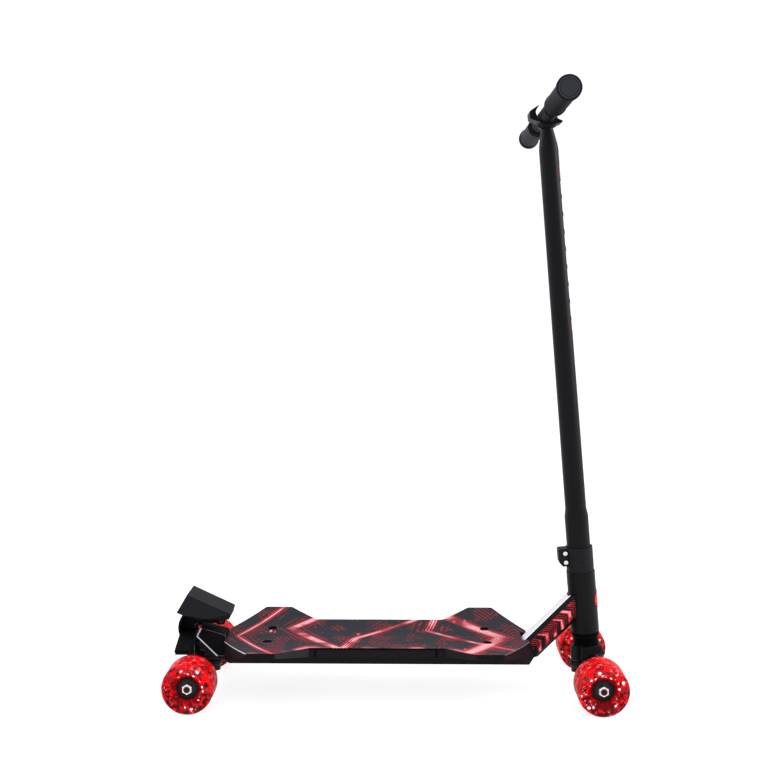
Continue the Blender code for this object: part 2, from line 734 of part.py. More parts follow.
bar = frame_empty("bar_axis", on_axis(BAR_Z))
socket = tube("crossbar", SOCKET_R, SOCKET_BORE, -SOCKET_HALF, SOCKET_HALF, 24)
place(socket, BLACK, bar, (0, 0, 0), TO_LEFT)
snap_dir = radians(35)  # the snap buttons face forward and up
snap_turn = (0, pi / 2 - snap_dir, 0)
handle_r = SOCKET_BORE - GAP
for side_name, sign in (("left", 1), ("right", -1)):
    turn = TO_LEFT if sign > 0 else TO_RIGHT
    hole = rod(f"socket_hole_{side_name}", SNAP_R + GAP, 0, 0.02, 16)
    cut(socket, place(hole, None, bar, (0, sign * SNAP_Y, 0), snap_turn))
    handle = tube(
        f"handle_tube_{side_name}",
        handle_r,
        handle_r - HANDLE_WALL,
        12 * MM,
        BAR_HALF - 4 * MM,
        18,
    )
    place(handle, STEEL, bar, (0, 0, 0), turn)
    hole = rod(f"handle_hole_{side_name}", SNAP_R + GAP, 0, 0.02, 16)
    cut(handle, place(hole, None, bar, (0, sign * SNAP_Y, 0), snap_turn))
    # Snap button: a bent leaf inside the handle tube with its dome through both walls
    reach_r = SOCKET_R + 0.6 * MM
    inside = handle_r - HANDLE_WALL
    leaf_top = inside - 1.1 * MM
    dome = turned(
        f"snap_button_{side_name}",
        [
            (0, reach_r),
            (SNAP_R * 0.6, reach_r - 0.3 * MM),
            (SNAP_R, reach_r - 1.2 * MM),
            (SNAP_R, leaf_top - 0.5 * MM),
            (0, leaf_top - 0.5 * MM),
        ],
        14,
    )
    place(dome, STEEL, bar, (0, sign * SNAP_Y, 0), snap_turn)
    bend = 17 * MM
    leaf = [
        (-3.4 * MM, leaf_top, 0),
        (bend, 0, 1.2 * MM),
        (-1.0 * MM, -inside + 0.3 * MM, 0),
        (-1.0 * MM, -inside + 1.3 * MM, 0),
        (bend - 2.2 * MM, 0, 0.6 * MM),
        (-3.4 * MM, leaf_top - 1 * MM, 0),
    ]
    spring = plate(f"snap_leaf_{side_name}", rounded(leaf, 2), 3.6 * MM)
    spring.data.transform(Matrix.Rotation(pi / 2, 4, "X"))
    spring.data.transform(Matrix.Rotation(-sign * pi / 2, 4, "Z"))
    fuse(dome, place(spring, None, bar, (0, sign * SNAP_Y, 0), snap_turn))
    grip_in = SOCKET_HALF + GAP
    grip = turned(
        f"grip_{side_name}",
        [
            (0, BAR_HALF),
            (11.6 * MM, BAR_HALF),
            (12.2 * MM, BAR_HALF - 0.9 * MM),
            (14.4 * MM, BAR_HALF - 0.3 * MM),
            (GRIP_FLANGE_R, BAR_HALF - 1.5 * MM),
            (GRIP_FLANGE_R, BAR_HALF - 7.5 * MM),
            (GRIP_R, BAR_HALF - 9 * MM),
            (GRIP_R, grip_in + 7 * MM),
            (GRIP_R + 0.7 * MM, grip_in + 5.5 * MM),
            (GRIP_R + 0.7 * MM, grip_in),
            (handle_r + GAP, grip_in),
            (handle_r + GAP, BAR_HALF - 4 * MM + GAP),
            (0, BAR_HALF - 4 * MM + GAP),
        ],
        20,
    )
    place(grip, GRIP_BLACK, bar, (0, 0, 0), turn)

# Saddle at the bar joint: cups the crossbar, collars the stem's neck, and has a storage hook
saddle_in = SOCKET_R + GAP
saddle_t = 3 * MM
cup = arc(0, 0, saddle_in + saddle_t, 200, 350, 7)
cup_in = arc(0, 0, saddle_in, 350, 200, 7)
holder = plate("handle_holder", cup + cup_in, 30 * MM)
place(holder, CHARCOAL, bar, (0, 0, 0), UPRIGHT)
hook = [
    (-12.6 * MM, -8.2 * MM, 0),
    (-23.4 * MM, -4.4 * MM, 1.5 * MM),
    (-24.4 * MM, 5.5 * MM, 3 * MM),
    (-10.6 * MM, 14.6 * MM, 0.4 * MM),
    (-16.4 * MM, 5.0 * MM, 6 * MM),
    (-13.2 * MM, -2.0 * MM, 2 * MM),
]
fuse(holder, place(plate("holder_hook", rounded(hook, 3), 26 * MM), None, bar, (0, 0, 0), UPRIGHT))
lip = [
    (12.2 * MM, -3.2 * MM, 0),
    (21.2 * MM, -7.4 * MM, 0.4 * MM),
    (20.4 * MM, -9.2 * MM, 0.4 * MM),
    (9.5 * MM, -12.6 * MM, 2 * MM),
    (7.0 * MM, -12.6 * MM, 0),
]
fuse(holder, place(plate("holder_lip", rounded(lip, 2), 26 * MM), None, bar, (0, 0, 0), UPRIGHT))
drop = bar_s - saddle_in - saddle_t
collar = turned(
    "holder_collar",
    [
        (0, drop + 5.5 * MM),
        (STEM_NECK_R + 5.5 * MM, drop + 5.5 * MM),
        (STEM_NECK_R + 5.5 * MM, drop + 1.5 * MM),
        (STEM_NECK_R + 3 * MM, TAPER_TOP + 0.6 * MM),
        (0, TAPER_TOP + 0.6 * MM),
    ],
    20,
)
fuse(holder, place(collar, None, steering))
stem_space = rod("holder_stem_space", STEM_NECK_R + GAP, TAPER_TOP - 2 * MM, bar_s, 24)
cut(holder, place(stem_space, None, steering))
bar_space = rod("holder_bar_space", SOCKET_R + GAP, -0.05, 0.05, 28)
cut(holder, place(bar_space, None, bar, (0, 0, 0), TO_LEFT))

# Trucks: both share one hanger, turned about so that the kingpin is on the deck's side

pivot_rise = atan2(PIVOT_Z - RING_Z, KINGPIN_X - PIVOT_X)
pivot_reach = hypot(PIVOT_Z - RING_Z, KINGPIN_X - PIVOT_X)
base_under = RING_Z + RING_T / 2 + GAP + BUSHING_UP + GAP
bushing_low_top = RING_Z - RING_T / 2 - GAP
nut_top = bushing_low_top - BUSHING_LOW - GAP
nut_low = nut_top - KINGPIN_NUT_H
inner_bearing = WHEEL_OUT - WHEEL_WIDTH + INNER_INSET
outer_bearing = WHEEL_OUT - BEARING_INSET
nut_in = outer_bearing + GAP
axle_half = nut_in + NUT_H + 1.2 * MM
YOKE_SLOT = 11 * MM


def truck(name, where, facing):
    """Hanger, kingpin stack and axle. facing is +1 where the deck lies toward +X."""
    turn = 0 if facing > 0 else pi
    centre = frame_empty(f"{name}_truck", (where, 0, WHEEL_R), (0, 0, turn))
    barrel = turned(
        f"{name}_hanger",
        [
            (0, inner_bearing - GAP),
            (ARM_END_R - 0.8 * MM, inner_bearing - GAP),
            (ARM_END_R, inner_bearing - 1.2 * MM),
            (ARM_END_R, ARM_TAPER_Y),
            (ARM_END_R + 1.6 * MM, ARM_TAPER_Y - 4 * MM),
            (BARREL_R, 20 * MM),
            (BARREL_R, -20 * MM),
            (ARM_END_R + 1.6 * MM, -ARM_TAPER_Y + 4 * MM),
            (ARM_END_R, -ARM_TAPER_Y),
            (ARM_END_R, -inner_bearing + 1.2 * MM),
            (ARM_END_R - 0.8 * MM, -inner_bearing + GAP),
            (0, -inner_bearing + GAP),
        ],
        16,
    )
    place(barrel, BLACK_METAL, centre, (0, 0, 0), TO_LEFT)
    ring = rod(f"{name}_ring", RING_R, RING_Z - RING_T / 2, RING_Z + RING_T / 2, 20)
    fuse(barrel, place(ring, None, centre, (KINGPIN_X, 0, 0)))
    web = [(1 * MM, -17 * MM), (KINGPIN_X, -8.5 * MM), (KINGPIN_X, 8.5 * MM), (1 * MM, 17 * MM)]
    web_t = RING_T - 0.6 * MM
    web_obj = plate(f"{name}_web", web, web_t)
    fuse(barrel, place(web_obj, None, centre, (0, 0, RING_Z)))
    gusset = [
        (-9 * MM, 0),
        (7 * MM, 0),
        (12 * MM, 2.6 * MM),
        (9.2 * MM, 7 * MM),
        (1 * MM, 13.4 * MM),
        (-7 * MM, 14.6 * MM),
    ]
    gusset_obj = plate(f"{name}_gusset", gusset, 7 * MM)
    fuse(barrel, place(gusset_obj, None, centre, (0, 0, 0), UPRIGHT))
    nose = turned(
        f"{name}_nose",
        [
            (0, pivot_reach + PIVOT_R * 0.9),
            (PIVOT_R * 0.5, pivot_reach + PIVOT_R * 0.78),
            (PIVOT_R * 0.87, pivot_reach + PIVOT_R * 0.45),
            (PIVOT_R, pivot_reach),
            (PIVOT_R, pivot_reach * 0.5),
            (0, pivot_reach * 0.5),
        ],
        12,
    )
    lean = (0, -(pi / 2 - pivot_rise), 0)
    fuse(barrel, place(nose, None, centre, (KINGPIN_X, 0, RING_Z), lean))
    bore = rod(f"{name}_axle_bore", AXLE_R + GAP, -0.1, 0.1, 16)
    cut(barrel, place(bore, None, centre, (0, 0, 0), TO_LEFT))
    ring_bore = rod(f"{name}_ring_bore", RING_BORE, -0.02, 0.008, 16)
    cut(barrel, place(ring_bore, None, centre, (KINGPIN_X, 0, 0)))

    pin = rod(
        f"{name}_kingpin", KINGPIN_R, nut_low - 1.2 * MM, base_under + KINGPIN_SEAT - GAP, 16
    )
    place(pin, STEEL, centre, (KINGPIN_X, 0, 0))
    soft = tube(
        f"{name}_bushing_upper",
        BUSHING_R,
        KINGPIN_R + GAP,
        RING_Z + RING_T / 2 + GAP,
        base_under - GAP,
        16,
    )
    place(soft, BUSH_RED, centre, (KINGPIN_X, 0, 0))
    soft = turned(
        f"{name}_bushing_lower",
        [
            (BUSHING_R, bushing_low_top),
            (BUSHING_R - 1 * MM, nut_top + GAP),
            (KINGPIN_R + GAP, nut_top + GAP),
            (KINGPIN_R + GAP, bushing_low_top),
        ],
        16,
        True,
    )
    place(soft, BUSH_RED, centre, (KINGPIN_X, 0, 0))
    nut = hexagon(f"{name}_kingpin_nut", NUT_FLATS, nut_low, nut_top - 1 * MM)
    flange = rod(f"{name}_kingpin_washer", BUSHING_R - 0.5 * MM, nut_top - 1.4 * MM, nut_top, 16)
    fuse(nut, place(flange, None, centre, (KINGPIN_X, 0, 0)))
    nut_bore = rod(f"{name}_kingpin_nut_bore", KINGPIN_R + GAP, -0.03, 0.03, 12)
    cut(nut, place(nut_bore, None, centre, (KINGPIN_X, 0, 0)))
    place(nut, STEEL, centre, (KINGPIN_X, 0, 0))

    axle = rod(f"{name}_axle", AXLE_R, -axle_half, axle_half, 16)
    place(axle, STEEL, centre, (0, 0, 0), TO_LEFT)
    for side_name, sign in (("left", 1), ("right", -1)):
        spin = TO_LEFT if sign * facing > 0 else TO_RIGHT
        wheel(f"{name}_{side_name}", centre, spin)
    return centre, barrel


def wheel(name, centre, spin):
    out = WHEEL_OUT
    inn = WHEEL_OUT - WHEEL_WIDTH
    r = TREAD_ROUND
    bend = sin(pi / 4)
    tyre = turned(
        f"tyre_{name}",
        [
            (HUB_R + GAP, out),
            (WHEEL_R - r, out),
            (WHEEL_R - r + r * bend, out - r + r * bend),
            (WHEEL_R, out - r),
            (WHEEL_R, inn + r),
            (WHEEL_R - r + r * bend, inn + r - r * bend),
            (WHEEL_R - r, inn),
            (HUB_R + GAP, inn),
            (HUB_R + GAP, inn + 8 * MM - GAP),
            (CORE_R + GAP, inn + 8 * MM - GAP),
            (CORE_R + GAP, out - 8 * MM + GAP),
            (HUB_R + GAP, out - 8 * MM + GAP),
        ],
        24,
        True,
    )
    place(tyre, RED_CAST, centre, (0, 0, 0), spin)
    core = turned(
        f"hub_core_{name}",
        [
            (HUB_R, out - 0.4 * MM),
            (HUB_R, out - 8 * MM),
            (CORE_R, out - 8 * MM),
            (CORE_R, inn + 8 * MM),
            (HUB_R, inn + 8 * MM),
            (HUB_R, inn + 0.4 * MM),
            (BEARING_R + GAP, inn + 0.4 * MM),
            (BEARING_R + GAP, out - 0.4 * MM),
        ],
        16,
        True,
    )
    place(core, CORE_WHITE, centre, (0, 0, 0), spin)
    # Two bearings with the spacer sleeve between their inner rings
    low = inner_bearing
    high = outer_bearing
    bore = AXLE_R + GAP
    sleeve = AXLE_R + 2 * MM
    bearings = turned(
        f"bearings_{name}",
        [
            (BEARING_R, high),
            (BEARING_R, high - BEARING_W),
            (sleeve, high - BEARING_W),
            (sleeve, low + BEARING_W),
            (BEARING_R, low + BEARING_W),
            (BEARING_R, low),
            (bore, low),
            (bore, high),
        ],
        16,
        True,
    )
    place(bearings, STEEL, centre, (0, 0, 0), spin)
    nut = hexagon(f"axle_nut_{name}", NUT_FLATS, nut_in, nut_in + NUT_H)
    bevel(nut, 0.6 * MM, 1, radians(70))
    nut_bore = rod(f"axle_nut_bore_{name}", AXLE_R + GAP, nut_in - 0.01, nut_in + 0.02, 14)
    cut(nut, place(nut_bore, None, centre, (0, 0, 0), spin))
    place(nut, STEEL, centre, (0, 0, 0), spin)


def seat_truck(base, centre):
    """Bores a truck base for its kingpin and adds the pivot cup."""
    lean = (0, -(pi / 2 - pivot_rise), 0)
    cup_low = pivot_reach - 3.5 * MM
    cup = turned(
        base.name + "_cup",
        [
            (0, pivot_reach + PIVOT_R + CUP_T),
            (PIVOT_R + CUP_T - 1.2 * MM, pivot_reach + PIVOT_R + CUP_T),
            (PIVOT_R + CUP_T, pivot_reach + PIVOT_R + CUP_T - 1.4 * MM),
            (PIVOT_R + CUP_T, cup_low),
            (0, cup_low),
        ],
        14,
    )
    fuse(base, place(cup, None, centre, (KINGPIN_X, 0, RING_Z), lean))
    hole = turned(
        base.name + "_cup_bore",
        [
            (0, pivot_reach + PIVOT_R * 0.9 + GAP),
            (PIVOT_R * 0.5 + GAP, pivot_reach + PIVOT_R * 0.78 + GAP),
            (PIVOT_R * 0.87 + GAP, pivot_reach + PIVOT_R * 0.45 + GAP),
            (PIVOT_R + GAP, pivot_reach),
            (PIVOT_R + GAP, cup_low - 0.01),
            (0, cup_low - 0.01),
        ],
        12,
    )
    cut(base, place(hole, None, centre, (KINGPIN_X, 0, RING_Z), lean))
    stud = rod(base.name + "_stud_bore", KINGPIN_R + GAP, 0, base_under + KINGPIN_SEAT, 16)
    cut(base, place(stud, None, centre, (KINGPIN_X, 0, 0)))


front_truck, front_hanger = truck("front", AXLE_X, -1)
rear_truck, rear_hanger = truck("rear", REAR_AXLE, 1)

base_z = WHEEL_R + base_under
crown_point = on_axis(WHEEL_R + CROWN_LOW * cos(STEER_TILT))


def under_crown(x):
    """Height of the plane just below the fork crown, square to the steering axis."""
    plane = crown_point - Vector((sin(STEER_TILT), 0, -cos(STEER_TILT))) * -0
    drop_by = GAP / cos(STEER_TILT)
    return plane.z + (x - plane.x) * tan(STEER_TILT) - drop_by


king_x = AXLE_X - KINGPIN_X
front_outline = [
    (king_x + 4 * MM, base_z),
    (king_x + 11.5 * MM, base_z),
    (king_x + 15 * MM, base_z + 9 * MM),
    (AXLE_X + 10 * MM, base_z + 9 * MM),
    (AXLE_X + 14 * MM, base_z + 13 * MM),
    (AXLE_X + 14 * MM, under_crown(AXLE_X + 14 * MM)),
    (king_x + 4 * MM, under_crown(king_x + 4 * MM)),
]
front_base = plate("front_truck_base", front_outline, FRONT_BASE_W)
place(front_base, BLACK_METAL, None, (0, 0, 0), UPRIGHT)
bevel(front_base, 1 * MM, 1)
boss_r = BUSHING_R + 0.8 * MM
boss = turned(
    "front_boss",
    [
        (0, base_z),
        (boss_r - 1 * MM, base_z),
        (boss_r, base_z + 1 * MM),
        (boss_r, under_crown(king_x - boss_r)),
        (0, under_crown(king_x - boss_r)),
    ],
    20,
)
fuse(front_base, place(boss, None, None, (king_x, 0, 0)))
seat_truck(front_base, front_truck)

# The rear base is a casting under the riser: a flat boss for the kingpin and a 45 degree plate
skin = 7 * MM
lean_45 = atan2(RISER_BACK_Z - PAN_Z, RISER_FOOT_X - RISER_BACK_X)
shift = GAP / sin(lean_45)
king_back = REAR_AXLE + KINGPIN_X


def riser_under(z, offset):
    """X of the plane parallel to the riser's lower face at this distance below it."""
    return RISER_FOOT_X - (z - PAN_Z) / tan(lean_45) - offset / sin(lean_45)


rear_outline = [
    (DECK_REAR - GAP, PAN_Z - GAP),
    (DECK_REAR - GAP, base_z),
    (king_back - 11 * MM, base_z),
    (king_back - 11 * MM, base_z + 9 * MM),
    (riser_under(PAN_Z + 10 * MM, skin), PAN_Z + 10 * MM),
    (riser_under(PAN_Z + 17.5 * MM, skin), PAN_Z + 17.5 * MM),
    (riser_under(PAN_Z + 23 * MM, GAP), PAN_Z + 23 * MM),
    (riser_under(PAN_Z - GAP, GAP), PAN_Z - GAP),
]
rear_base = plate("rear_truck_base", rear_outline, FRAME_W - 1 * MM)
place(rear_base, BLACK_METAL, None, (0, 0, 0), UPRIGHT)
bevel(rear_base, 0.8 * MM, 1)
web_low, web_top = PAN_Z + 5.5 * MM, PAN_Z + 21 * MM
cup_web = [
    (riser_under(web_low, 3 * MM), web_low),
    (riser_under(web_low, skin + 4 * MM), web_low),
    (REAR_AXLE + PIVOT_X - 6 * MM, WHEEL_R + PIVOT_Z + 7 * MM),
    (riser_under(web_top, skin), web_top),
    (riser_under(web_top, 3 * MM), web_top),
]
fuse(rear_base, place(plate("rear_cup_web", cup_web, 13 * MM), None, None, (0, 0, 0), UPRIGHT))
seat_truck(rear_base, rear_truck)

# Brake carried by the rear hanger: yoke, pedal, pin, spring and two pads

LUG_TOP = WHEEL_R + 6 * MM
LUG_LOW = WHEEL_R - 4 * MM
lug_in = REAR_AXLE - (BARREL_R + AXLE_R + GAP) / 2
for side_name, sign in (("left", 1), ("right", -1)):
    lug = box(
        f"hanger_lug_{side_name}",
        (lug_in - YOKE_BACK_X, YOKE_HALF - YOKE_SLOT, LUG_TOP - LUG_LOW),
        (
            (lug_in + YOKE_BACK_X) / 2,
            sign * (YOKE_HALF + YOKE_SLOT) / 2,
            (LUG_TOP + LUG_LOW) / 2,
        ),
    )
    fuse(rear_hanger, place(lug))
ARM_LOW = PIN_Z - 4.5 * MM
ARM_TOP = PIN_Z + 4.5 * MM
YOKE_BEND_Z = PIN_Z - 29 * MM  # the yoke stands straight below this and follows the pedal above
yoke_r = BACK_R - BACK_T - YOKE_ROOM
barrel_side = sqrt(BARREL_R**2 - (LUG_TOP - WHEEL_R) ** 2) + 0.5 * MM
yoke_outline = [
    (YOKE_BACK_X, LUG_TOP + GAP, 0),
    (REAR_AXLE - barrel_side, LUG_TOP + GAP, 0),
    (REAR_AXLE - barrel_side, LUG_TOP + 3 * MM, 0),
    (YOKE_WALL_X, LUG_TOP + 6 * MM, 0),
    (YOKE_WALL_X, ARM_LOW, 7 * MM),
    (PIN_X + 4 * MM, ARM_LOW, 3 * MM),
    (PIN_X + 5.6 * MM, PIN_Z, 0),
    (PIN_X + 4 * MM, ARM_TOP, 3 * MM),
]
yoke_outline += [(x, z, 0) for x, z in arc(BACK_X, BACK_Z, yoke_r, 155, 222, 6)]
yoke_outline += [(YOKE_BACK_X, YOKE_BEND_Z, 0)]
yoke = plate("brake_yoke", rounded(yoke_outline, 3), 2 * YOKE_HALF)
place(yoke, BLACK_METAL, None, (0, 0, 0), UPRIGHT)
cut(
    yoke,
    place(
        box(
            "yoke_slot",
            (0.04, 2 * YOKE_SLOT, 60 * MM),
            ((YOKE_WALL_X + YOKE_BACK_X) / 2, 0, YOKE_BEND_Z - 30 * MM),
        )
    ),
)
pin_spot = (PIN_X, 0, PIN_Z)
pin_bore = rod("yoke_pin_bore", PIN_R + GAP, -0.05, 0.05, 16)
cut(yoke, place(pin_bore, None, None, pin_spot, TO_LEFT))

RIB_Y = YOKE_HALF + GAP
RIB_T = 4 * MM
brake_pin = turned(
    "brake_pin",
    [
        (0, RIB_Y + RIB_T + 2.4 * MM),
        (3.4 * MM, RIB_Y + RIB_T + 2.0 * MM),
        (4 * MM, RIB_Y + RIB_T + GAP),
        (PIN_R, RIB_Y + RIB_T + GAP),
        (PIN_R, -RIB_Y - RIB_T - GAP),
        (4 * MM, -RIB_Y - RIB_T - GAP),
        (3.4 * MM, -RIB_Y - RIB_T - 2.0 * MM),
        (0, -RIB_Y - RIB_T - 2.4 * MM),
    ],
    12,
)
place(brake_pin, STEEL, None, pin_spot, TO_LEFT)

# Pedal hood: an open faceted shell, thickened inward
HOOD_REAR = Vector((PIN_X - 47.8 * MM, 23.5 * MM, PIN_Z + 38.4 * MM))
HOOD_FRONT = Vector((PIN_X + 12.5 * MM, 22.3 * MM, PIN_Z + 10.4 * MM))
HOOD_REAR_CORNER = Vector((PIN_X - 57.7 * MM, 45 * MM, PIN_Z + 20 * MM))
HOOD_SIDE_CORNER = Vector((PIN_X - 29 * MM, 45 * MM, PIN_Z + 8.4 * MM))
HOOD_LIP = Vector((PIN_X + 10.5 * MM, 20 * MM, PIN_Z + 1.6 * MM))


def hood_shell():
    mesh = bpy.data.meshes.new("brake_pedal")
    bm = bmesh.new()
    flat = Vector((1, 0, 1))
    a1 = bm.verts.new(HOOD_REAR)
    b1 = bm.verts.new(HOOD_FRONT)
    p6 = bm.verts.new(HOOD_REAR_CORNER)
    p5 = bm.verts.new(HOOD_SIDE_CORNER)
    c1 = bm.verts.new(HOOD_LIP)
    a0 = bm.verts.new(HOOD_REAR * flat)
    b0 = bm.verts.new(HOOD_FRONT * flat)
    c0 = bm.verts.new(HOOD_LIP * flat)
    bm.faces.new((a0, b0, b1, a1))
    bm.faces.new((a1, b1, p5, p6))
    bm.faces.new((b0, c0, c1, b1))
    bm.faces.new((b1, c1, p5))
    bmesh.ops.recalc_face_normals(bm, faces=bm.faces)
    if sum((f.normal.z for f in bm.faces), 0.0) < 0:
        bmesh.ops.reverse_faces(bm, faces=bm.faces)
    bm.to_mesh(mesh)
    bm.free()
    return bpy.data.objects.new("brake_pedal", mesh)


pedal = hood_shell()
twin = pedal.modifiers.new("mirror", "MIRROR")
twin.use_axis = (False, True, False)
twin.merge_threshold = 0.00001
shell = pedal.modifiers.new("wall", "SOLIDIFY")
shell.thickness = PEDAL_T
shell.offset = -1
shell.use_even_offset = True
brake = frame_empty("brake_hinge", pin_spot)
place(pedal, CHARCOAL, brake, (-PIN_X, 0, -PIN_Z))
back_half = 36 * MM
back = arc(BACK_X, BACK_Z, BACK_R, 122, 218, 7)
back += arc(BACK_X, BACK_Z, BACK_R - BACK_T, 218, 122, 7)
back_obj = plate("pedal_back", back, 2 * back_half)
fuse(pedal, place(back_obj, None, None, (0, 0, 0), UPRIGHT))


def hood_z(x):
    share = (x - HOOD_REAR.x) / (HOOD_FRONT.x - HOOD_REAR.x)
    return HOOD_REAR.z + share * (HOOD_FRONT.z - HOOD_REAR.z)


# A flat panel closes the shell behind, from the curved back up to the hood
PANEL_X = REAR_AXLE - 13 * MM
side_face = (HOOD_REAR_CORNER - HOOD_REAR).cross(HOOD_SIDE_CORNER - HOOD_REAR).normalized()
side_face *= 1 if side_face.y > 0 else -1


def mid_wall_y(z):
    """Half width between the middles of the hood's side walls, at the panel."""
    offset = Vector((PANEL_X, 0, z)) - HOOD_REAR
    offset.y = 0
    return HOOD_REAR.y - (PEDAL_T / 2 + side_face.dot(offset)) / side_face.y


panel_low, panel_top = PIN_Z + 17 * MM, hood_z(PANEL_X) - 1.7 * MM
low_y, top_y = mid_wall_y(panel_low), mid_wall_y(panel_top)
panel = [(-low_y, panel_low), (low_y, panel_low), (top_y, panel_top), (-top_y, panel_top)]
panel_obj = plate("pedal_rear_panel", panel, 3 * MM)
fuse(pedal, place(panel_obj, None, None, (PANEL_X, 0, 0), (pi / 2, 0, pi / 2)))

rib_back = arc(BACK_X, BACK_Z, BACK_R - BACK_T / 2, 122, 218, 7)[1:7]
rib_outline = [(PANEL_X - 1 * MM, hood_z(PANEL_X - 1 * MM) - 2 * MM, 0)]
rib_outline += [(x, z, 0) for x, z in rib_back]
rib_outline += [
    (PANEL_X, PIN_Z - 21 * MM, 0),
    (YOKE_WALL_X, PIN_Z - 17 * MM, 2 * MM),
    (YOKE_WALL_X, ARM_LOW + MM, 5 * MM),
    (PIN_X - 8 * MM, ARM_LOW + MM, 3 * MM),
    (PIN_X - 4 * MM, PIN_Z - 6 * MM, 2 * MM),
    (PIN_X + 4.5 * MM, PIN_Z - 5.5 * MM, 3 * MM),
    (PIN_X + 6.5 * MM, hood_z(PIN_X + 6.5 * MM) - 2 * MM, 0),
]
for side_name, sign in (("left", 1), ("right", -1)):
    rib = plate(f"pedal_rib_{side_name}", rounded(rib_outline, 2), RIB_T)
    fuse(pedal, place(rib, None, None, (0, sign * (RIB_Y + RIB_T / 2), 0), UPRIGHT))

pad_low = 2 * WHEEL_R + PAD_GAP
foot_low = pad_low + PAD_T + GAP
wheel_in = WHEEL_OUT - WHEEL_WIDTH
LEG_BACK = REAR_AXLE - 22.5 * MM
LEG_FRONT = REAR_AXLE - 2 * MM
for side_name, sign in (("left", 1), ("right", -1)):
    leg = [
        (22 * MM, PIN_Z - 19 * MM, 0),
        (30 * MM, PIN_Z - 24.5 * MM, 4 * MM),
        (wheel_in - 5 * MM, foot_low, 4 * MM),
        (wheel_in + 13 * MM, foot_low, 0.8 * MM),
        (wheel_in + 13 * MM, foot_low + 3.4 * MM, 1.5 * MM),
        (36 * MM, PIN_Z - 11 * MM, 5 * MM),
        (22 * MM, PIN_Z - 11 * MM, 0),
    ]
    leg_obj = plate(f"pedal_leg_{side_name}", rounded([(sign * y, z, r) for y, z, r in leg], 2), 1)
    leg_obj.data.transform(Matrix.Scale(LEG_FRONT - LEG_BACK, 4, (0, 0, 1)))
    middle = ((LEG_FRONT + LEG_BACK) / 2, 0, 0)
    fuse(pedal, place(leg_obj, None, None, middle, (pi / 2, 0, pi / 2)))
    pad = box(
        f"brake_pad_{side_name}",
        (LEG_FRONT - LEG_BACK - 1 * MM, 15 * MM, PAD_T),
        (middle[0], sign * (wheel_in + 5 * MM), pad_low + PAD_T / 2),
    )
    place(pad, GRIP_BLACK, brake, (-PIN_X, 0, -PIN_Z))
    bevel(pad, 0.5 * MM, 1)
yoke_room = arc(BACK_X, BACK_Z, yoke_r + YOKE_ROOM - 0.05 * MM, 148, 222, 7)
yoke_room += [(YOKE_BACK_X - YOKE_ROOM, YOKE_BEND_Z), (YOKE_BACK_X - YOKE_ROOM, LUG_LOW)]
yoke_room += [(PIN_X + 7.2 * MM, LUG_LOW), (PIN_X + 7.2 * MM, ARM_TOP + 1.2 * MM)]
room = plate("pedal_yoke_room", yoke_room, 2 * RIB_Y)
cut(pedal, place(room, None, None, (0, 0, 0), UPRIGHT))
SPRING_X = REAR_AXLE + 9 * MM
spring_low = ARM_TOP + GAP
spring_top = hood_z(SPRING_X) - 8 * MM
seat_r = SPRING_R + 2 * MM
seat = rod("pedal_spring_seat", seat_r, spring_top + GAP, hood_z(SPRING_X - seat_r) + MM, 16)
seat_back, seat_front = SPRING_X - 2 * seat_r, SPRING_X + 2 * seat_r
above_hood = [
    (seat_back, hood_z(seat_back) - 1.5 * MM),
    (seat_front, hood_z(seat_front) - 1.5 * MM),
    (seat_front, hood_z(seat_back) + 9 * MM),
    (seat_back, hood_z(seat_back) + 9 * MM),
]
place(seat, None, None, (SPRING_X, 0, 0))
cut(seat, place(plate("pedal_seat_trim", above_hood, 4 * seat_r), None, None, (0, 0, 0), UPRIGHT))
fuse(pedal, seat)
for side_name, sign in (("left", 1), ("right", -1)):
    ends = sorted(sign * (RIB_Y + RIB_T + reach) for reach in (0, 3.3 * MM))
    head_room = rod(f"pedal_pin_room_{side_name}", 4.3 * MM, *ends, 12)
    cut(pedal, place(head_room, None, None, pin_spot, TO_LEFT))
pedal_bore = rod("pedal_pin_bore", PIN_R + GAP, -0.05, 0.05, 16)
cut(pedal, place(pedal_bore, None, None, pin_spot, TO_LEFT))


def coil(name, turns, radius, wire, low, top):
    """A compression spring with its ends drawn flat, one open tube."""
    per_turn = 9
    count = turns * per_turn
    points = []
    for i in range(count + 1):
        angle = 2 * pi * i / per_turn
        rest = turns - 2
        climb = min(max(angle / (2 * pi) - 1, 0) / rest, 1)
        flat_step = 2.8 * wire * min(angle / (2 * pi), 1)
        end_step = 2.8 * wire * max(angle / (2 * pi) - (turns - 1), 0)
        span = top - low - 2 * wire - 5.6 * wire
        points.append(
            (
                radius * cos(angle),
                radius * sin(angle),
                low + wire + flat_step + climb * span + end_step,
            )
        )
    least = min(
        (Vector(points[i]) - Vector(points[j])).length - 2 * wire
        for i in range(len(points))
        for j in range(i + per_turn - 2, len(points))
    )
    print(f"{name}: least gap between turns {least * 1000:.2f} mm")
    data = bpy.data.curves.new(name, "CURVE")
    data.dimensions = "3D"
    data.bevel_depth = wire
    data.bevel_resolution = 1
    data.use_fill_caps = True
    spline = data.splines.new("POLY")
    spline.points.add(len(points) - 1)
    for point, (x, y, z) in zip(spline.points, points):
        point.co = (x, y, z, 1)
    return meshed(bpy.data.objects.new(name, data), name)


spring = coil("brake_spring", SPRING_TURNS, SPRING_R, SPRING_WIRE, spring_low, spring_top)
place(spring, STEEL, None, (SPRING_X, 0, 0))
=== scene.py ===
"""Looks of the carving scooter: finishes, wheels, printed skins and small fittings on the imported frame."""
import json
from functools import reduce
from math import cos, pi, radians, sin, tan

import bpy
from mathutils import Matrix, Vector


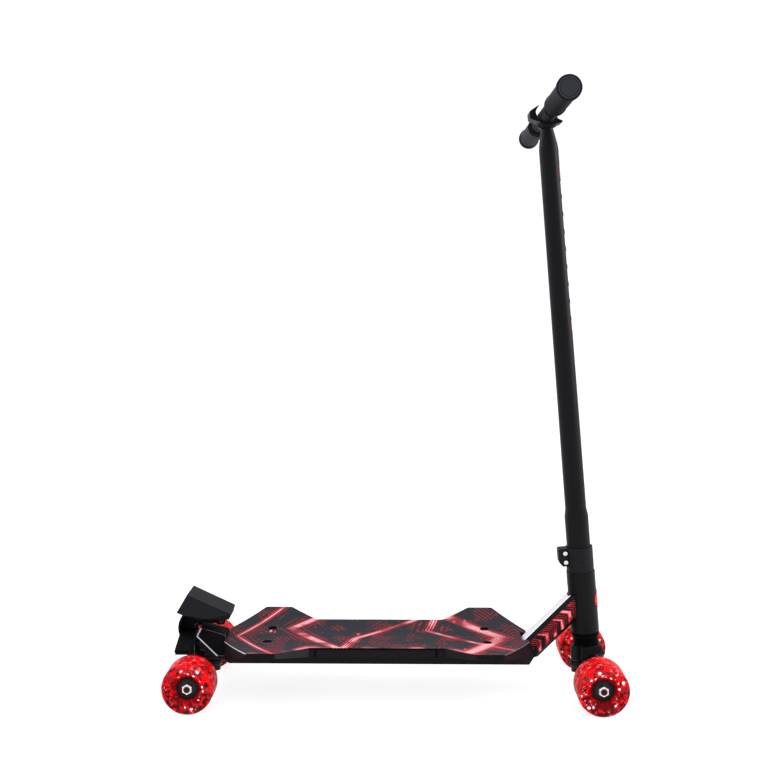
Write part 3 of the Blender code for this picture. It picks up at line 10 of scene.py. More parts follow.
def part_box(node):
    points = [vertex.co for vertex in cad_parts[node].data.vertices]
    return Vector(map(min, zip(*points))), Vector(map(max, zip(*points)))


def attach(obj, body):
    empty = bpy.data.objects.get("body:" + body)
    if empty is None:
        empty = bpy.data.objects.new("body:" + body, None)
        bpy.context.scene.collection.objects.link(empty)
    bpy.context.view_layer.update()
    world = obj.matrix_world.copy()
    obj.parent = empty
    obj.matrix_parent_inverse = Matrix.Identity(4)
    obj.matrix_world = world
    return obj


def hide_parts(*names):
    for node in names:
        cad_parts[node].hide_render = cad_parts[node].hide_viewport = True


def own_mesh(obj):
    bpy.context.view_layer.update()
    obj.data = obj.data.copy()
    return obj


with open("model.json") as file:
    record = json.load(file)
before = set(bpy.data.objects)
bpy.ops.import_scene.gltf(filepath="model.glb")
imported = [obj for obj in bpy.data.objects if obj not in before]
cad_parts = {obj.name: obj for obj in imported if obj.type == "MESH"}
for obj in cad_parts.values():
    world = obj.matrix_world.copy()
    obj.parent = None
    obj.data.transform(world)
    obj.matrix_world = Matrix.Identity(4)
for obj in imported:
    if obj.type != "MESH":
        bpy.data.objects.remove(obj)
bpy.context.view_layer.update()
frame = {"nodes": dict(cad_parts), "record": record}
NODES = frame["nodes"]
MM = 0.001

# Sizes taken over from the solid model
AXLE_X = 279 * MM
WHEEL_R = 35 * MM
WHEEL_Y = 86 * MM  # a wheel's middle plane
WHEEL_HALF = 24 * MM  # half its width
CORE_R = 22 * MM
BEARING_R = 11 * MM
BEARING_LENGTH = 34 * MM  # both bearings and their sleeve
STEER_X = 275.2 * MM  # where the steering axis passes axle height
STEER_LEAN = radians(5)
STEER = Matrix.Translation((STEER_X, 0, WHEEL_R)) @ Matrix.Rotation(-STEER_LEAN, 4, "Y")
HEAD_R = 20 * MM
BAR_Z = 805 * MM
BAR_X = STEER_X - (BAR_Z - WHEEL_R) * tan(STEER_LEAN)
DECK_X = -26.2 * MM  # the deck's middle
DECK_TOP_Z = 75.5 * MM
DECK_DISH = 0.87  # rise of the deck's top, in 1/m, times the distance from the middle squared
DECK_WAIST_Y = 63.3 * MM
NECK_RUN, NECK_RISE = 0.702, 0.712  # direction of the neck in X and Z

# ---------------------------------------------------------------- camera, light and floor

# Fitted to the photograph
CAMERA_AT = (0.0171, -1.4550, 0.5643)
CAMERA_TURN, CAMERA_DIP, CAMERA_ROLL = radians(-1.273), radians(-4.965), radians(-0.153)
CAMERA_LENS = 48.75

camera = bpy.data.objects.new("camera", bpy.data.cameras.new("camera"))
bpy.context.scene.collection.objects.link(camera)
bpy.context.scene.camera = camera
camera.data.sensor_width = 36
camera.data.lens = CAMERA_LENS
camera.data.clip_start, camera.data.clip_end = 0.05, 200
on_floor = cos(CAMERA_DIP)
ahead = Vector((sin(CAMERA_TURN) * on_floor, cos(CAMERA_TURN) * on_floor, sin(CAMERA_DIP)))
side = Vector((cos(CAMERA_TURN), -sin(CAMERA_TURN), 0))
above = side.cross(ahead)
right = cos(CAMERA_ROLL) * side + sin(CAMERA_ROLL) * above
up = cos(CAMERA_ROLL) * above - sin(CAMERA_ROLL) * side
facing = Matrix((right, up, -ahead)).transposed().to_4x4()
camera.matrix_world = Matrix.Translation(CAMERA_AT) @ facing

world = bpy.data.worlds.new("studio")
bpy.context.scene.world = world
world.use_nodes = True
background = world.node_tree.nodes["Background"]
background.inputs["Color"].default_value = (1, 1, 1.1, 1)
background.inputs["Strength"].default_value = 1.06
bpy.context.scene.view_settings.view_transform = "Standard"


def lamp(name, place, aim, size, power):
    """A square softbox at place that faces aim."""
    data = bpy.data.lights.new(name, "AREA")
    data.shape, data.size, data.energy = "SQUARE", size, power
    obj = bpy.data.objects.new(name, data)
    bpy.context.scene.collection.objects.link(obj)
    obj.location = place
    obj.rotation_euler = (Vector(aim) - Vector(place)).to_track_quat("-Z", "Y").to_euler()


lamp("softbox_left", (-2.0, 0.8, 1.7), (0, 0, 0.3), 1.0, 16)
lamp("softbox_top", (0.3, 0.6, 2.6), (0, 0, 0.2), 1.6, 5)
lamp("softbox_right", (2.4, -0.1, 1.3), (0.1, 0, 0.3), 1.0, 34)

bpy.ops.object.select_all(action="DESELECT")
bpy.ops.mesh.primitive_circle_add(vertices=96, radius=60, fill_type="NGON")
floor = bpy.context.object
floor.name = "floor"

# ---------------------------------------------------------------- shader arithmetic


class Value:
    """A number that varies over a surface; arithmetic on it adds Math nodes."""

    def __init__(self, finish, socket):
        self.finish = finish
        self.socket = socket

    def maths(self, operation, *others, clamp=False):
        settings = {"operation": operation, "use_clamp": clamp}
        return self.finish.node("Math", settings, dict(enumerate((self, *others))))[0]

    def __add__(self, other):
        return self.maths("ADD", other)

    __radd__ = __add__

    def __sub__(self, other):
        return self.maths("SUBTRACT", other)

    def __rsub__(self, other):
        return self.finish.node("Math", {"operation": "SUBTRACT"}, {0: other, 1: self})[0]

    def __mul__(self, other):
        return self.maths("MULTIPLY", other)

    __rmul__ = __mul__

    def __truediv__(self, other):
        return self.maths("DIVIDE", other)

    def __pow__(self, other):
        return self.maths("POWER", other)

    def __abs__(self):
        return self.maths("ABSOLUTE")

    def lesser(self, other):
        return self.maths("MINIMUM", other)

    def greater(self, other):
        return self.maths("MAXIMUM", other)

    def held(self):
        """Kept between 0 and 1."""
        return self.maths("ADD", 0, clamp=True)

    def ramp(self, low, high):
        """0 below low and 1 above high, or the other way round where high is the smaller."""
        return ((self - low) / (high - low)).held()

    def within(self, low, high, soft):
        """1 between low and high, fading to 0 over soft inside each of them."""
        return self.ramp(low, low + soft) * self.ramp(high, high - soft)

    def line(self, pitch, width, soft):
        """1 on lines that are pitch apart, and 0 between them."""
        return self.maths("PINGPONG", pitch / 2).ramp(width / 2 + soft, width / 2)


class Finish:
    """One material and the nodes that make it."""

    def __init__(self, name):
        self.material = bpy.data.materials.new(name)
        self.material.use_nodes = True
        self.tree = self.material.node_tree
        self.tree.nodes.clear()
        coordinates = self.node("TexCoord", {}, {})
        self.place = coordinates["Object"]
        self.facing = coordinates["Normal"]
        self.x, self.y, self.z = self.parts(self.place)
        self.nx, self.ny, self.nz = self.parts(self.facing)

    def node(self, kind, settings, values):
        """A node of this type with its settings, then the values or links of its sockets."""
        made = self.tree.nodes.new("ShaderNode" + kind)
        for key, setting in settings.items():
            setattr(made, key, setting)
        for key, value in values.items():
            if isinstance(value, Value):
                self.tree.links.new(value.socket, made.inputs[key])
            elif isinstance(value, tuple) and len(made.inputs[key].default_value) == 4:
                made.inputs[key].default_value = (*value, 1)
            else:
                made.inputs[key].default_value = value
        return Outputs(self, made)

    def parts(self, vector):
        """The three numbers of a vector."""
        split = self.node("SeparateXYZ", {}, {0: vector})
        return split[0], split[1], split[2]

    def point(self, x, y, z=0.0):
        """A vector from three numbers."""
        return self.node("CombineXYZ", {}, {0: x, 1: y, 2: z})[0]

    def scaled(self, *scale):
        """The place with X, Y and Z multiplied by these."""
        return self.node("Mapping", {}, {"Vector": self.place, "Scale": scale})[0]

    def from_axle(self, axle_x):
        """How far ahead of a wheel's axle, how far above it, and how far from it."""
        ahead, above = self.x - axle_x, self.z - WHEEL_R
        return ahead, above, (ahead * ahead + above * above) ** 0.5

    def noise(self, size, detail=2.0, rough=0.5, vector=None):
        """Noise whose lumps are about size metres across."""
        return self.node("TexNoise", {}, {
            "Vector": vector or self.place, "Scale": 1 / size, "Detail": detail, "Roughness": rough})["Fac"]

    def cells(self, size, vector=None, spread=1.0, **settings):
        """Distance from the nearest of points that lie about size metres apart, in that unit."""
        return self.node("TexVoronoi", settings, {
            "Vector": vector or self.place, "Scale": 1 / size, "Randomness": spread})["Distance"]

    def mix(self, factor, first, second):
        """A colour between two others."""
        return self.node("Mix", {"data_type": "RGBA"}, {0: factor, 6: first, 7: second})[2]

    def bump(self, height, depth, strength):
        """A surface raised by up to depth where height is 1."""
        return self.node("Bump", {}, {"Height": height, "Distance": depth, "Strength": strength})[0]

    def edge(self, radius):
        """About 1 on sharp outer edges and 0 on flat faces."""
        rounded = self.node("Bevel", {"samples": 4}, {"Radius": radius})[0]
        straight = self.node("NewGeometry", {}, {})["Normal"]
        product = self.node("VectorMath", {"operation": "DOT_PRODUCT"}, {0: rounded, 1: straight})
        return product["Value"].ramp(0.985, 0.86)

    def done(self, **values):
        """The surface shader, by its socket names with _ for a space."""
        named = {key.replace("_", " "): value for key, value in values.items()}
        shader = self.node("BsdfPrincipled", {}, named)
        self.node("OutputMaterial", {}, {"Surface": shader[0]})
        return self.material


class Outputs:
    """What comes out of one node, by name or number."""

    def __init__(self, finish, made):
        self.finish = finish
        self.made = made

    def __getitem__(self, key):
        return Value(self.finish, self.made.outputs[key])


# ---------------------------------------------------------------- finishes


def powder_coat(name):
    """Black powder coat: a fine even grain and a soft sheen."""
    f = Finish(name)
    grain = f.noise(0.9 * MM)
    cloud = f.noise(60 * MM, 3)
    return f.done(
        Base_Color=f.mix(cloud, (0.00304, 0.00304, 0.00323), (0.00475, 0.00475, 0.00513)),
        Roughness=0.38 + 0.07 * cloud + 0.05 * grain,
        Specular_IOR_Level=0.1, Normal=f.bump(grain, 0.05 * MM, 0.35))


def riser_edge_highlight(f):
    """Where a painted highlight goes: 1 on the sides of the rear bracket along its rear and lower edges,
    which meet in one corner.
    """
    corner_x, corner_z = -283.6 * MM, 78.4 * MM
    from_low = (f.x - corner_x + f.z - corner_z) * 0.707
    from_rear = (f.x - corner_x) * 0.889 - (f.z - corner_z) * 0.458
    return from_low.lesser(from_rear).ramp(2.3 * MM, 1.7 * MM) * abs(f.ny).ramp(0.5, 0.6)


def shadow_black(name, tone=0.0012, rim=0.7 * MM, edge_highlight=None, painted_highlight=None):
    """A matt black that gives back almost no light, also used as painted shade, with painted highlights on
    its edges and wherever the given mask is 1.
    """
    f = Finish(name)
    grain = f.noise(0.8 * MM)
    cloud = f.noise(20 * MM)
    colour = f.mix(cloud, (tone * 0.7, tone * 0.7, tone * 0.8), (tone * 1.3, tone * 1.3, tone * 1.45))
    # Painted highlights on the edges
    colour = f.mix(f.edge(rim) * 0.9, colour, edge_highlight or (tone * 26, tone * 26, tone * 27))
    # A pale painted highlight wherever the given mask is 1
    if painted_highlight:
        colour = f.mix(painted_highlight(f), colour, (0.8, 0.8, 0.82))
    return f.done(
        Base_Color=colour,
        Roughness=0.6 + 0.1 * grain, Specular_IOR_Level=0.02, Normal=f.bump(grain, 0.05 * MM, 0.3))


def cast_coat(name):
    """Black coat over a casting: a coarser skin with dull patches."""
    f = Finish(name)
    skin = f.noise(1.6 * MM, 3, 0.6)
    patch = f.noise(25 * MM, 3)
    colour = f.mix(patch, (0.004, 0.004, 0.0045), (0.0085, 0.0085, 0.0095))
    # Painted highlights on the edges
    colour = f.mix(f.edge(0.5 * MM) * 0.6, colour, (0.04, 0.04, 0.043))
    return f.done(
        Base_Color=colour, Roughness=0.46 + 0.12 * patch, Specular_IOR_Level=0.13,
        Normal=f.bump(skin, 0.09 * MM, 0.5))


def moulded(name, low, high, rough, edge_highlight_tone, specular):
    """Moulded plastic with a spark-eroded grain, and edges made paler by painted highlights."""
    f = Finish(name)
    grain = f.noise(0.55 * MM, 2, 0.6)
    cloud = f.noise(40 * MM, 3)
    # Painted highlights on the edges
    colour = f.mix(f.edge(0.8 * MM) * 0.8, f.mix(cloud, low, high), edge_highlight_tone)
    return f.done(
        Base_Color=colour, Roughness=rough + 0.08 * cloud, Specular_IOR_Level=specular,
        Normal=f.bump(grain, 0.05 * MM, 0.4))


def pedal_finish():
    """The foot pedal: a charcoal hood, and painted shade that makes the legs and back panel under it near
    black.
    """
    f = Finish("pedal_finish")
    grain = f.noise(0.55 * MM, 2, 0.6)
    cloud = f.noise(40 * MM, 3)
    # The hood lies above a line that falls towards the front; below it, painted shade makes the legs and back
    # panel near black
    hood = (f.z - 104 * MM + (f.x + 235.5 * MM) * 0.25).ramp(-0.3 * MM, 0.3 * MM)
    # Painted light: faces that look up get their own bluer tone
    upper = f.nz.ramp(0.55, 0.8)
    skin = f.mix(cloud, (0.0095, 0.0097, 0.0106), (0.0125, 0.0127, 0.014))
    skin = f.mix(upper, skin, f.mix(cloud, (0.0085, 0.009, 0.0108), (0.011, 0.0116, 0.0136)))
    # Painted highlights on the edges
    skin = f.mix(f.edge(0.8 * MM) * 0.7, skin, (0.05, 0.052, 0.06))
    return f.done(
        Base_Color=f.mix(hood, (0.0018, 0.0018, 0.002), skin), Roughness=0.5 + 0.08 * cloud,
        Specular_IOR_Level=0.05, Normal=f.bump(grain, 0.05 * MM, 0.4))


def toward_painted_light(f):
    """1 where the round of the bar faces up and back to the rider, the side painted as lit, and -1 on its
    other side.
    """
    return f.nz * 0.62 - f.nx * 0.78


def bar_coat(name):
    """The bar's tubes: black, with painted light on the upper rear side and a painted highlight along it."""
    f = Finish(name)
    grain = f.noise(0.8 * MM)
    upper = toward_painted_light(f)
    # Painted light on the upper rear side, and a painted highlight along its edge
    colour = f.mix(upper.ramp(0.1, 0.8), (0.003, 0.003, 0.0033), (0.017, 0.017, 0.019))
    colour = f.mix(upper.ramp(0.85, 1), colour, (0.09, 0.09, 0.096))
    return f.done(
        Base_Color=colour, Roughness=0.5 + 0.1 * grain, Specular_IOR_Level=0.02,
        Normal=f.bump(grain, 0.05 * MM, 0.3))


def grip_rubber(name):
    """Dark rubber, very finely stippled round the bar, with painted light on its upper rear side, and a
    ringed end whose rings get painted light and shade.
    """
    f = Finish(name)
    stipple = f.cells(1.5 * MM).ramp(0.1, 0.5)
    grain = f.noise(0.6 * MM)
    cloud = f.noise(30 * MM, 3)
    flat = abs(f.ny).ramp(0.5, 0.8)
    upper = toward_painted_light(f)
    colour = f.mix(cloud, (0.0072, 0.0072, 0.008), (0.0098, 0.0098, 0.011))
    # Painted light on the upper rear side, and a painted highlight along its edge
    colour = f.mix(upper.ramp(-0.3, 0.8), colour, (0.026, 0.026, 0.029))
    colour = f.mix(upper.ramp(0.85, 1), colour, (0.11, 0.11, 0.117))
    ahead, above = f.x - BAR_X, f.z - BAR_Z
    from_bar = (ahead * ahead + above * above) ** 0.5
    # On the end: a painted highlight on the slope down to the groove, and painted shade in the groove
    cap = f.mix(from_bar.ramp(10.4 * MM, 10.8 * MM), (0.033, 0.034, 0.038), (0.008, 0.008, 0.009))
    cap = f.mix(from_bar.ramp(11.2 * MM, 11.6 * MM), cap, (0.058, 0.059, 0.065))
    cap = f.mix(from_bar.ramp(12.4 * MM, 12.9 * MM), cap, (0.013, 0.013, 0.015))
    colour = f.mix(flat, colour, cap)
    return f.done(
        Base_Color=colour, Roughness=0.45 + 0.08 * cloud, Specular_IOR_Level=0.008,
        Normal=f.bump(stipple * (1 - flat) * 0.6 + grain * 0.6, 0.06 * MM, 0.4))


def zinc_steel(name, tone=(0.86, 0.86, 0.82), rough=0.22):
    """Plated steel, faintly stained, with fine scratches across the scooter."""
    f = Finish(name)
    stain = f.noise(5 * MM, 3)
    scratch = f.noise(1.0, vector=f.scaled(3000, 300, 3000))
    colour = f.mix(stain, tone, tuple(c * 0.82 for c in tone))
    return f.done(
        Base_Color=colour, Metallic=1.0, Roughness=rough + 0.12 * stain,
        Normal=f.bump(scratch, 0.02 * MM, 0.3))


def urethane(name, low, high):
    """Cloudy cast plastic, for the bushings and the rings of the lock nuts."""
    f = Finish(name)
    cloud = f.noise(6 * MM, 3)
    return f.done(
        Base_Color=f.mix(cloud, low, high), Roughness=0.4 + 0.15 * cloud, Specular_IOR_Level=0.25)


def wheel_cast(name, axle_x):
    """Clear red cast urethane lit from inside: dark inclusions, hot glints, a dark middle and a black lip."""
    f = Finish(name)
    ahead, above, radius = f.from_axle(axle_x)
    around = above.maths("ARCTAN2", ahead)
    from_middle = abs(abs(f.y) - WHEEL_Y)
    cloud = f.noise(9 * MM).ramp(0.36, 0.62)
    blotch = f.noise(6.4 * MM, 4, 0.6)
    fleck = f.noise(3.8 * MM, 3, 0.6, f.point(radius, around * 0.013, f.y))
    rays = f.noise(1.0, vector=f.point(radius * 60, around * 6.0))

    # Dark blotches, more of them towards the bottom of the wheel, a dark middle, and a clean bright rim
    dark = (blotch - above * 2.0).ramp(0.49, 0.53) * (0.6 + 0.4 * radius.ramp(16 * MM, 24 * MM))
    smoke = fleck.ramp(0.535, 0.59) * radius.ramp(20 * MM, 27 * MM) * radius.ramp(34.8 * MM, 33.8 * MM)
    near_hub = radius.ramp(22 * MM, 15.5 * MM) * (0.6 + 0.4 * rays.ramp(0.62, 0.4))
    rim = radius.ramp(32.6 * MM, 34 * MM) * from_middle.ramp(18.5 * MM, 21 * MM) * blotch.ramp(0.6, 0.5)

    # Lights: large and small glints on the unrolled side and tread, mostly high on the wheel
    outwards = radius + (from_middle - WHEEL_HALF) * radius.ramp(26 * MM, 28 * MM)
    mean_r = 24 * MM
    unrolled = f.point(around * mean_r, outwards)
    large = f.cells(9.2 * MM, unrolled, 0.9, voronoi_dimensions="2D") + (fleck - 0.5) * 0.32
    small = f.cells(3.4 * MM, unrolled, voronoi_dimensions="2D")
    band = radius.ramp(17.5 * MM, 19.5 * MM) * (1 - radius.ramp(30 * MM, 32 * MM) * 0.9)
    band = band * (f.noise(17 * MM) + above * 2.2).ramp(0.49, 0.55)
    halo = large.ramp(0.4, 0.12) * band
    spark = small.ramp(0.2, 0.1) * band * fleck.ramp(0.47, 0.41) * 0.7
    glint = (large.ramp(0.22, 0.13) * band).greater(spark).held()
    lip = radius.ramp(15.0 * MM, 14.6 * MM)

    colour = f.mix(cloud, (0.95, 0.006, 0.008), (0.42, 0.003, 0.005))
    colour = f.mix(dark * 0.94, colour, (0.04, 0.005, 0.007))
    colour = f.mix(smoke * 0.72, colour, (0.09, 0.045, 0.052))
    colour = f.mix(near_hub * 0.9, colour, (0.05, 0.003, 0.005))
    colour = f.mix(rim * 0.8, colour, (1.0, 0.012, 0.014))
    colour = f.mix(halo * 0.6, colour, (1.0, 0.05, 0.06))
    colour = f.mix(glint, colour, (1.0, 0.92, 0.92))
    colour = f.mix(lip, colour, (0.008, 0.008, 0.009))
    glow = f.mix(cloud, (0.34, 0.0006, 0.001), (0.06, 0.0002, 0.0004))
    glow = f.mix(halo, glow, (0.9, 0.02, 0.025))
    glow = f.mix(glint, glow, (1.0, 0.95, 0.95))
    shade = (dark * 0.97).greater(smoke).greater(near_hub) * (1 - glint) * (1 - rim * 0.8)
    return f.done(
        Base_Color=colour, Roughness=0.3 + 0.12 * fleck, Specular_IOR_Level=0.02,
        Emission_Color=f.mix(shade.greater(lip), glow, (0.0, 0.0, 0.0)), Emission_Strength=0.42,
        Normal=f.bump(blotch, 0.1 * MM, 0.25))


def core_plastic(name, axle_x):
    """The wheel's moulded core: black at the bearing collar, red-lit inside."""
    f = Finish(name)
    radius = f.from_axle(axle_x)[-1]
    cloud = f.noise(4 * MM, 3)
    black = f.mix(cloud, (0.006, 0.006, 0.007), (0.011, 0.011, 0.012))
    colour = f.mix(radius.ramp(13.6 * MM, 14 * MM), black, (0.6, 0.25, 0.25))
    return f.done(Base_Color=colour, Roughness=0.4 + 0.1 * cloud, Specular_IOR_Level=0.12)


def bearing_finish(name, axle_x):
    """Darkened steel rings with a black rubber shield between them."""
    f = Finish(name)
    radius = f.from_axle(axle_x)[-1]
    shield = radius.within(6.3 * MM, 9.5 * MM, 0.3 * MM)
    cloud = f.noise(3 * MM, 3)
    ring = f.mix(cloud, (0.012, 0.012, 0.013), (0.02, 0.02, 0.022))
    return f.done(
        Base_Color=f.mix(shield, ring, (0.002, 0.002, 0.0022)), Metallic=1 - shield,
        Roughness=0.3 + 0.2 * shield + 0.1 * cloud)


def deck_print(f, cloud):
    """The deck's top: angular bundles of fine red lines on charcoal, with thin lines and lights between."""
    x, y = f.x, f.y
    colour = f.mix(cloud, (0.0165, 0.0176, 0.0205), (0.021, 0.0225, 0.0262))

    # Thin nested lines over patches of the sheet, and red dust towards the near side
    nested = f.cells(74 * MM, f.scaled(1, 0.6, 0.01), distance="MANHATTAN")
    patch = f.noise(38 * MM)
    speck = f.noise(1.0, 2, 0.6, f.point(x * 260, (y + x * 0.5) * 90))
    traces = nested.line(0.1, 0.014, 0.013) * patch.ramp(0.5, 0.56) * (0.3 + 0.7 * speck.ramp(0.4, 0.62))
    colour = f.mix(traces, colour, (0.4, 0.012, 0.02))
    dust = speck.ramp(0.6, 0.7) * patch.ramp(0.46, 0.4) * (y + x * 0.15).ramp(0.02, -0.03)
    colour = f.mix(dust * 0.7, colour, (0.34, 0.012, 0.018))

    def bent(at_x, at_y, far, close):
        """Distance in x from a line with one bend, whose x changes by far or close per y on its two sides."""
        return x - at_x - (y - at_y).greater(0) * far - (y - at_y).lesser(0) * close

    # Bundles: the bent line, half the lines' reach, how far thin lines go on beside them, and their strength
    bundles = (
        (bent(-0.152, 0.028, 0.85, -0.8), 8.4 * MM, 26 * MM, 1.0),
        (bent(-0.056, -0.012, 1.15, 0.3), 6.2 * MM, 20 * MM, 0.9),
        (bent(0.048, 0.02, 0.22, -1.25), 6.2 * MM, 30 * MM, 0.8),
        (bent(0.152, -0.006, -0.95, 0.62), 12.8 * MM, 24 * MM, 1.0),
        (bent(-0.226, -0.004, 0.5, -0.62), 4.1 * MM, 24 * MM, 0.7),
    )
    layers = []
    for number, (path, half, reach, strength) in enumerate(bundles):
        near = abs(path)
        patch = f.noise((44 + 7 * number) * MM).ramp(0.36, 0.5)
        lines = path.line(4.3 * MM, 1.5 * MM, 0.7 * MM) * near.ramp(half + 0.5 * MM, half)
        lines = lines * (0.45 + 0.55 * patch)
        core = lines * near.ramp(half * 0.8, half * 0.5) * patch * strength
        mist = near.ramp(half * 1.8, half * 0.4) * patch * strength
        beside = path.line(8.6 * MM, 0.9 * MM, 0.8 * MM) * near.ramp(reach, reach * 0.7)
        beside = beside * f.noise((30 + 5 * number) * MM).ramp(0.46, 0.54)
        layers.append((beside, mist, lines, core))
    beside, mist, lines, core = (reduce(Value.greater, layer) for layer in zip(*layers))
    colour = f.mix(beside * 0.7, colour, (0.48, 0.014, 0.024))
    colour = f.mix(mist * 0.4, colour, (0.6, 0.012, 0.022))
    colour = f.mix(lines, colour, (0.8, 0.03, 0.045))
    colour = f.mix(core, colour, (1.0, 0.66, 0.68))

    # A pink line along parts of the near edge, and small lights
    from_edge = y + DECK_WAIST_Y + (abs(x - DECK_X) - 96.3 * MM).greater(0).lesser(40.3 * MM) * 1.035
    edge_glow = from_edge.ramp(20 * MM, 1 * MM) * f.noise(60 * MM).ramp(0.42, 0.56) * x.ramp(0.13, 0.09)
    colour = f.mix(edge_glow * edge_glow * 0.9, colour, (0.95, 0.2, 0.23))
    light = f.cells(30 * MM, f.scaled(1, 0.42, 0.01))
    colour = f.mix(light.ramp(0.11, 0.04) * 0.8, colour, (0.95, 0.1, 0.13))
    return f.mix(light.ramp(0.05, 0.03), colour, (1.0, 0.8, 0.82))


def deck_sides(f, cloud, below, low_lip):
    """The deck's black sides with painted light and shade and a few red dots of the print, from how far below
    the top's surface a point lies.
    """
    off_middle = abs(f.x - DECK_X)
    colour = f.mix(cloud, (0.0048, 0.0048, 0.005), (0.0074, 0.0074, 0.0078))

    # Painted light on the slants at both ends of the waist, strongest on those that face forward
    slant = abs(f.nx).ramp(0.3, 0.5) * off_middle.within(90 * MM, 140 * MM, 2 * MM)
    colour = f.mix(slant * f.nx.ramp(-0.1, 0.1), colour, (0.021, 0.0215, 0.025))
    colour = f.mix(slant * f.nx.ramp(0.1, -0.1), colour, (0.0115, 0.0115, 0.013))

    # The waist's long recess, with painted shade along its top and near its ends
    sunk = off_middle.ramp(93 * MM, 91 * MM) * abs(f.ny).ramp(0.5, 0.7)
    colour = f.mix(sunk, colour, (0.0085, 0.0086, 0.0095))
    colour = f.mix(sunk * below.ramp(3.4 * MM, 2.6 * MM), colour, (0.001, 0.001, 0.001))
    colour = f.mix(sunk * off_middle.within(81 * MM, 86 * MM, 1 * MM), colour, (0.001, 0.001, 0.001))
    # Painted shade: faces that look down get a darker even tone
    colour = f.mix(low_lip, colour, (0.0052, 0.0052, 0.0056))

    # The slanted ends: red dots of the print, and a painted highlight along the upper edge, strongest towards
    # the rear
    dots = off_middle.ramp(170 * MM, 172 * MM) * f.noise(1.8 * MM).ramp(0.45, 0.55)
    colour = f.mix(dots * 0.45, colour, (0.032, 0.003, 0.005))
    painted_highlight = below.ramp(1.5 * MM, 0.9 * MM) * abs(f.nx).ramp(0.3, 0.42) * off_middle.ramp(172 * MM, 175 * MM)
    painted_highlight = painted_highlight * (0.16 + 0.84 * f.x.ramp(0.05, -0.05))
    return f.mix(painted_highlight, colour, (0.75, 0.75, 0.77))


def deck_finish():
    """The deck's black moulding with its printed top."""
    f = Finish("deck_finish")
    grain = f.noise(0.6 * MM)
    cloud = f.noise(70 * MM, 3)
    below = DECK_TOP_Z + f.y * f.y * DECK_DISH - f.z
    top = f.nz.ramp(0.88, 0.93) * below.ramp(1.6 * MM, 0.9 * MM)
    low_lip = f.nz.ramp(-0.08, -0.3)
    return f.done(
        Base_Color=f.mix(top, deck_sides(f, cloud, below, low_lip), deck_print(f, cloud)),
        Roughness=0.45 + 0.1 * cloud + top * 0.06 + low_lip * 0.45, Specular_IOR_Level=0.045,
        Normal=f.bump(grain * (1 - top) + top * f.noise(0.8 * MM, 1), 0.04 * MM, 0.4))


def neck_finish():
    """Black coat, pale on its top face with a painted highlight along its near edge, and a red print of
    slanted bars on both sides.
    """
    f = Finish("neck_finish")
    grain = f.noise(0.9 * MM)
    cloud = f.noise(40 * MM, 3)
    along = f.x * NECK_RUN + f.z * NECK_RISE
    across = f.z * NECK_RUN - f.x * NECK_RISE
    top = (f.nz * NECK_RUN - f.nx * NECK_RISE).ramp(0.9, 0.97)
    side = abs(f.ny).ramp(0.9, 0.97) * f.z.ramp(53 * MM, 55 * MM)
    side = side * across.within(-106 * MM, -83.5 * MM, 2.5 * MM)
    slant = along + abs(across + 94 * MM) * 0.8
    wide = f.noise(1.0, 1, 0.4, f.point(slant * 62, across * 30))
    fine = f.noise(3.2 * MM, 3, 0.65)
    bars = slant.line(15 * MM, 6.4 * MM, 0.5 * MM) * wide.ramp(0.44, 0.5) * (0.5 + 0.5 * fine.ramp(0.4, 0.55))
    thin = slant.line(3.75 * MM, 0.9 * MM, 0.5 * MM) * across.ramp(-108 * MM, -84 * MM) * wide.ramp(0.56, 0.5)
    hot = slant.line(15 * MM, 2.2 * MM, 0.9 * MM) * wide.ramp(0.5, 0.56)
    # A painted highlight along the near edge of the top: white, and glowing a little
    top_edge_highlight = f.y.ramp(-8.2 * MM, -8.7 * MM) * top

    black = f.mix(cloud, (0.0034, 0.0034, 0.0037), (0.0058, 0.0058, 0.0062))
    ink = f.mix(fine.ramp(0.42, 0.6), (0.55, 0.01, 0.016), (0.9, 0.05, 0.065))
    pale_top = f.mix(f.noise(1.4 * MM), (0.68, 0.665, 0.66), (0.76, 0.745, 0.735))
    colour = f.mix(bars.greater(thin * 0.8) * side, black, ink)
    colour = f.mix(hot * side * 0.85, colour, (1.0, 0.5, 0.53))
    colour = f.mix(top, colour, pale_top)
    colour = f.mix(top_edge_highlight, colour, (1.0, 1.0, 1.0))
    return f.done(
        Base_Color=colour, Roughness=0.42 + 0.1 * cloud, Specular_IOR_Level=0.1,
        Emission_Color=f.mix(top_edge_highlight, (0.0, 0.0, 0.0), (1.0, 1.0, 1.0)), Emission_Strength=0.2,
        Normal=f.bump(grain, 0.05 * MM, 0.3))


def stem_finish():
    """Powder coat with a printed strip of white dashes and red ends down the front."""
    f = Finish("stem_finish")
    grain = f.noise(0.9 * MM)
    cloud = f.noise(60 * MM, 3)
    run, rise = f.x - STEER_X, f.z - WHEEL_R
    along = rise * cos(STEER_LEAN) - run * sin(STEER_LEAN)
    ahead = run * cos(STEER_LEAN) + rise * sin(STEER_LEAN)
    strip = abs(f.y).ramp(6.4 * MM, 5.6 * MM) * ahead.ramp(4 * MM, 5 * MM)
    strip = strip * along.within(478 * MM, 706 * MM, 2 * MM)
    dash = (along + f.y * 0.6).line(24 * MM, 17 * MM, 0.6 * MM)
    ends = along.ramp(492 * MM, 490 * MM).greater(along.ramp(686 * MM, 688 * MM))
    colour = f.mix(cloud, (0.0033, 0.0033, 0.0036), (0.0053, 0.0053, 0.0058))
    colour = f.mix(strip * dash, colour, (0.72, 0.72, 0.74))
    colour = f.mix(strip * ends, colour, (0.72, 0.012, 0.02))
    return f.done(
        Base_Color=colour, Roughness=0.36 + 0.07 * cloud + 0.05 * grain,
        Specular_IOR_Level=0.1, Normal=f.bump(grain, 0.05 * MM, 0.35))


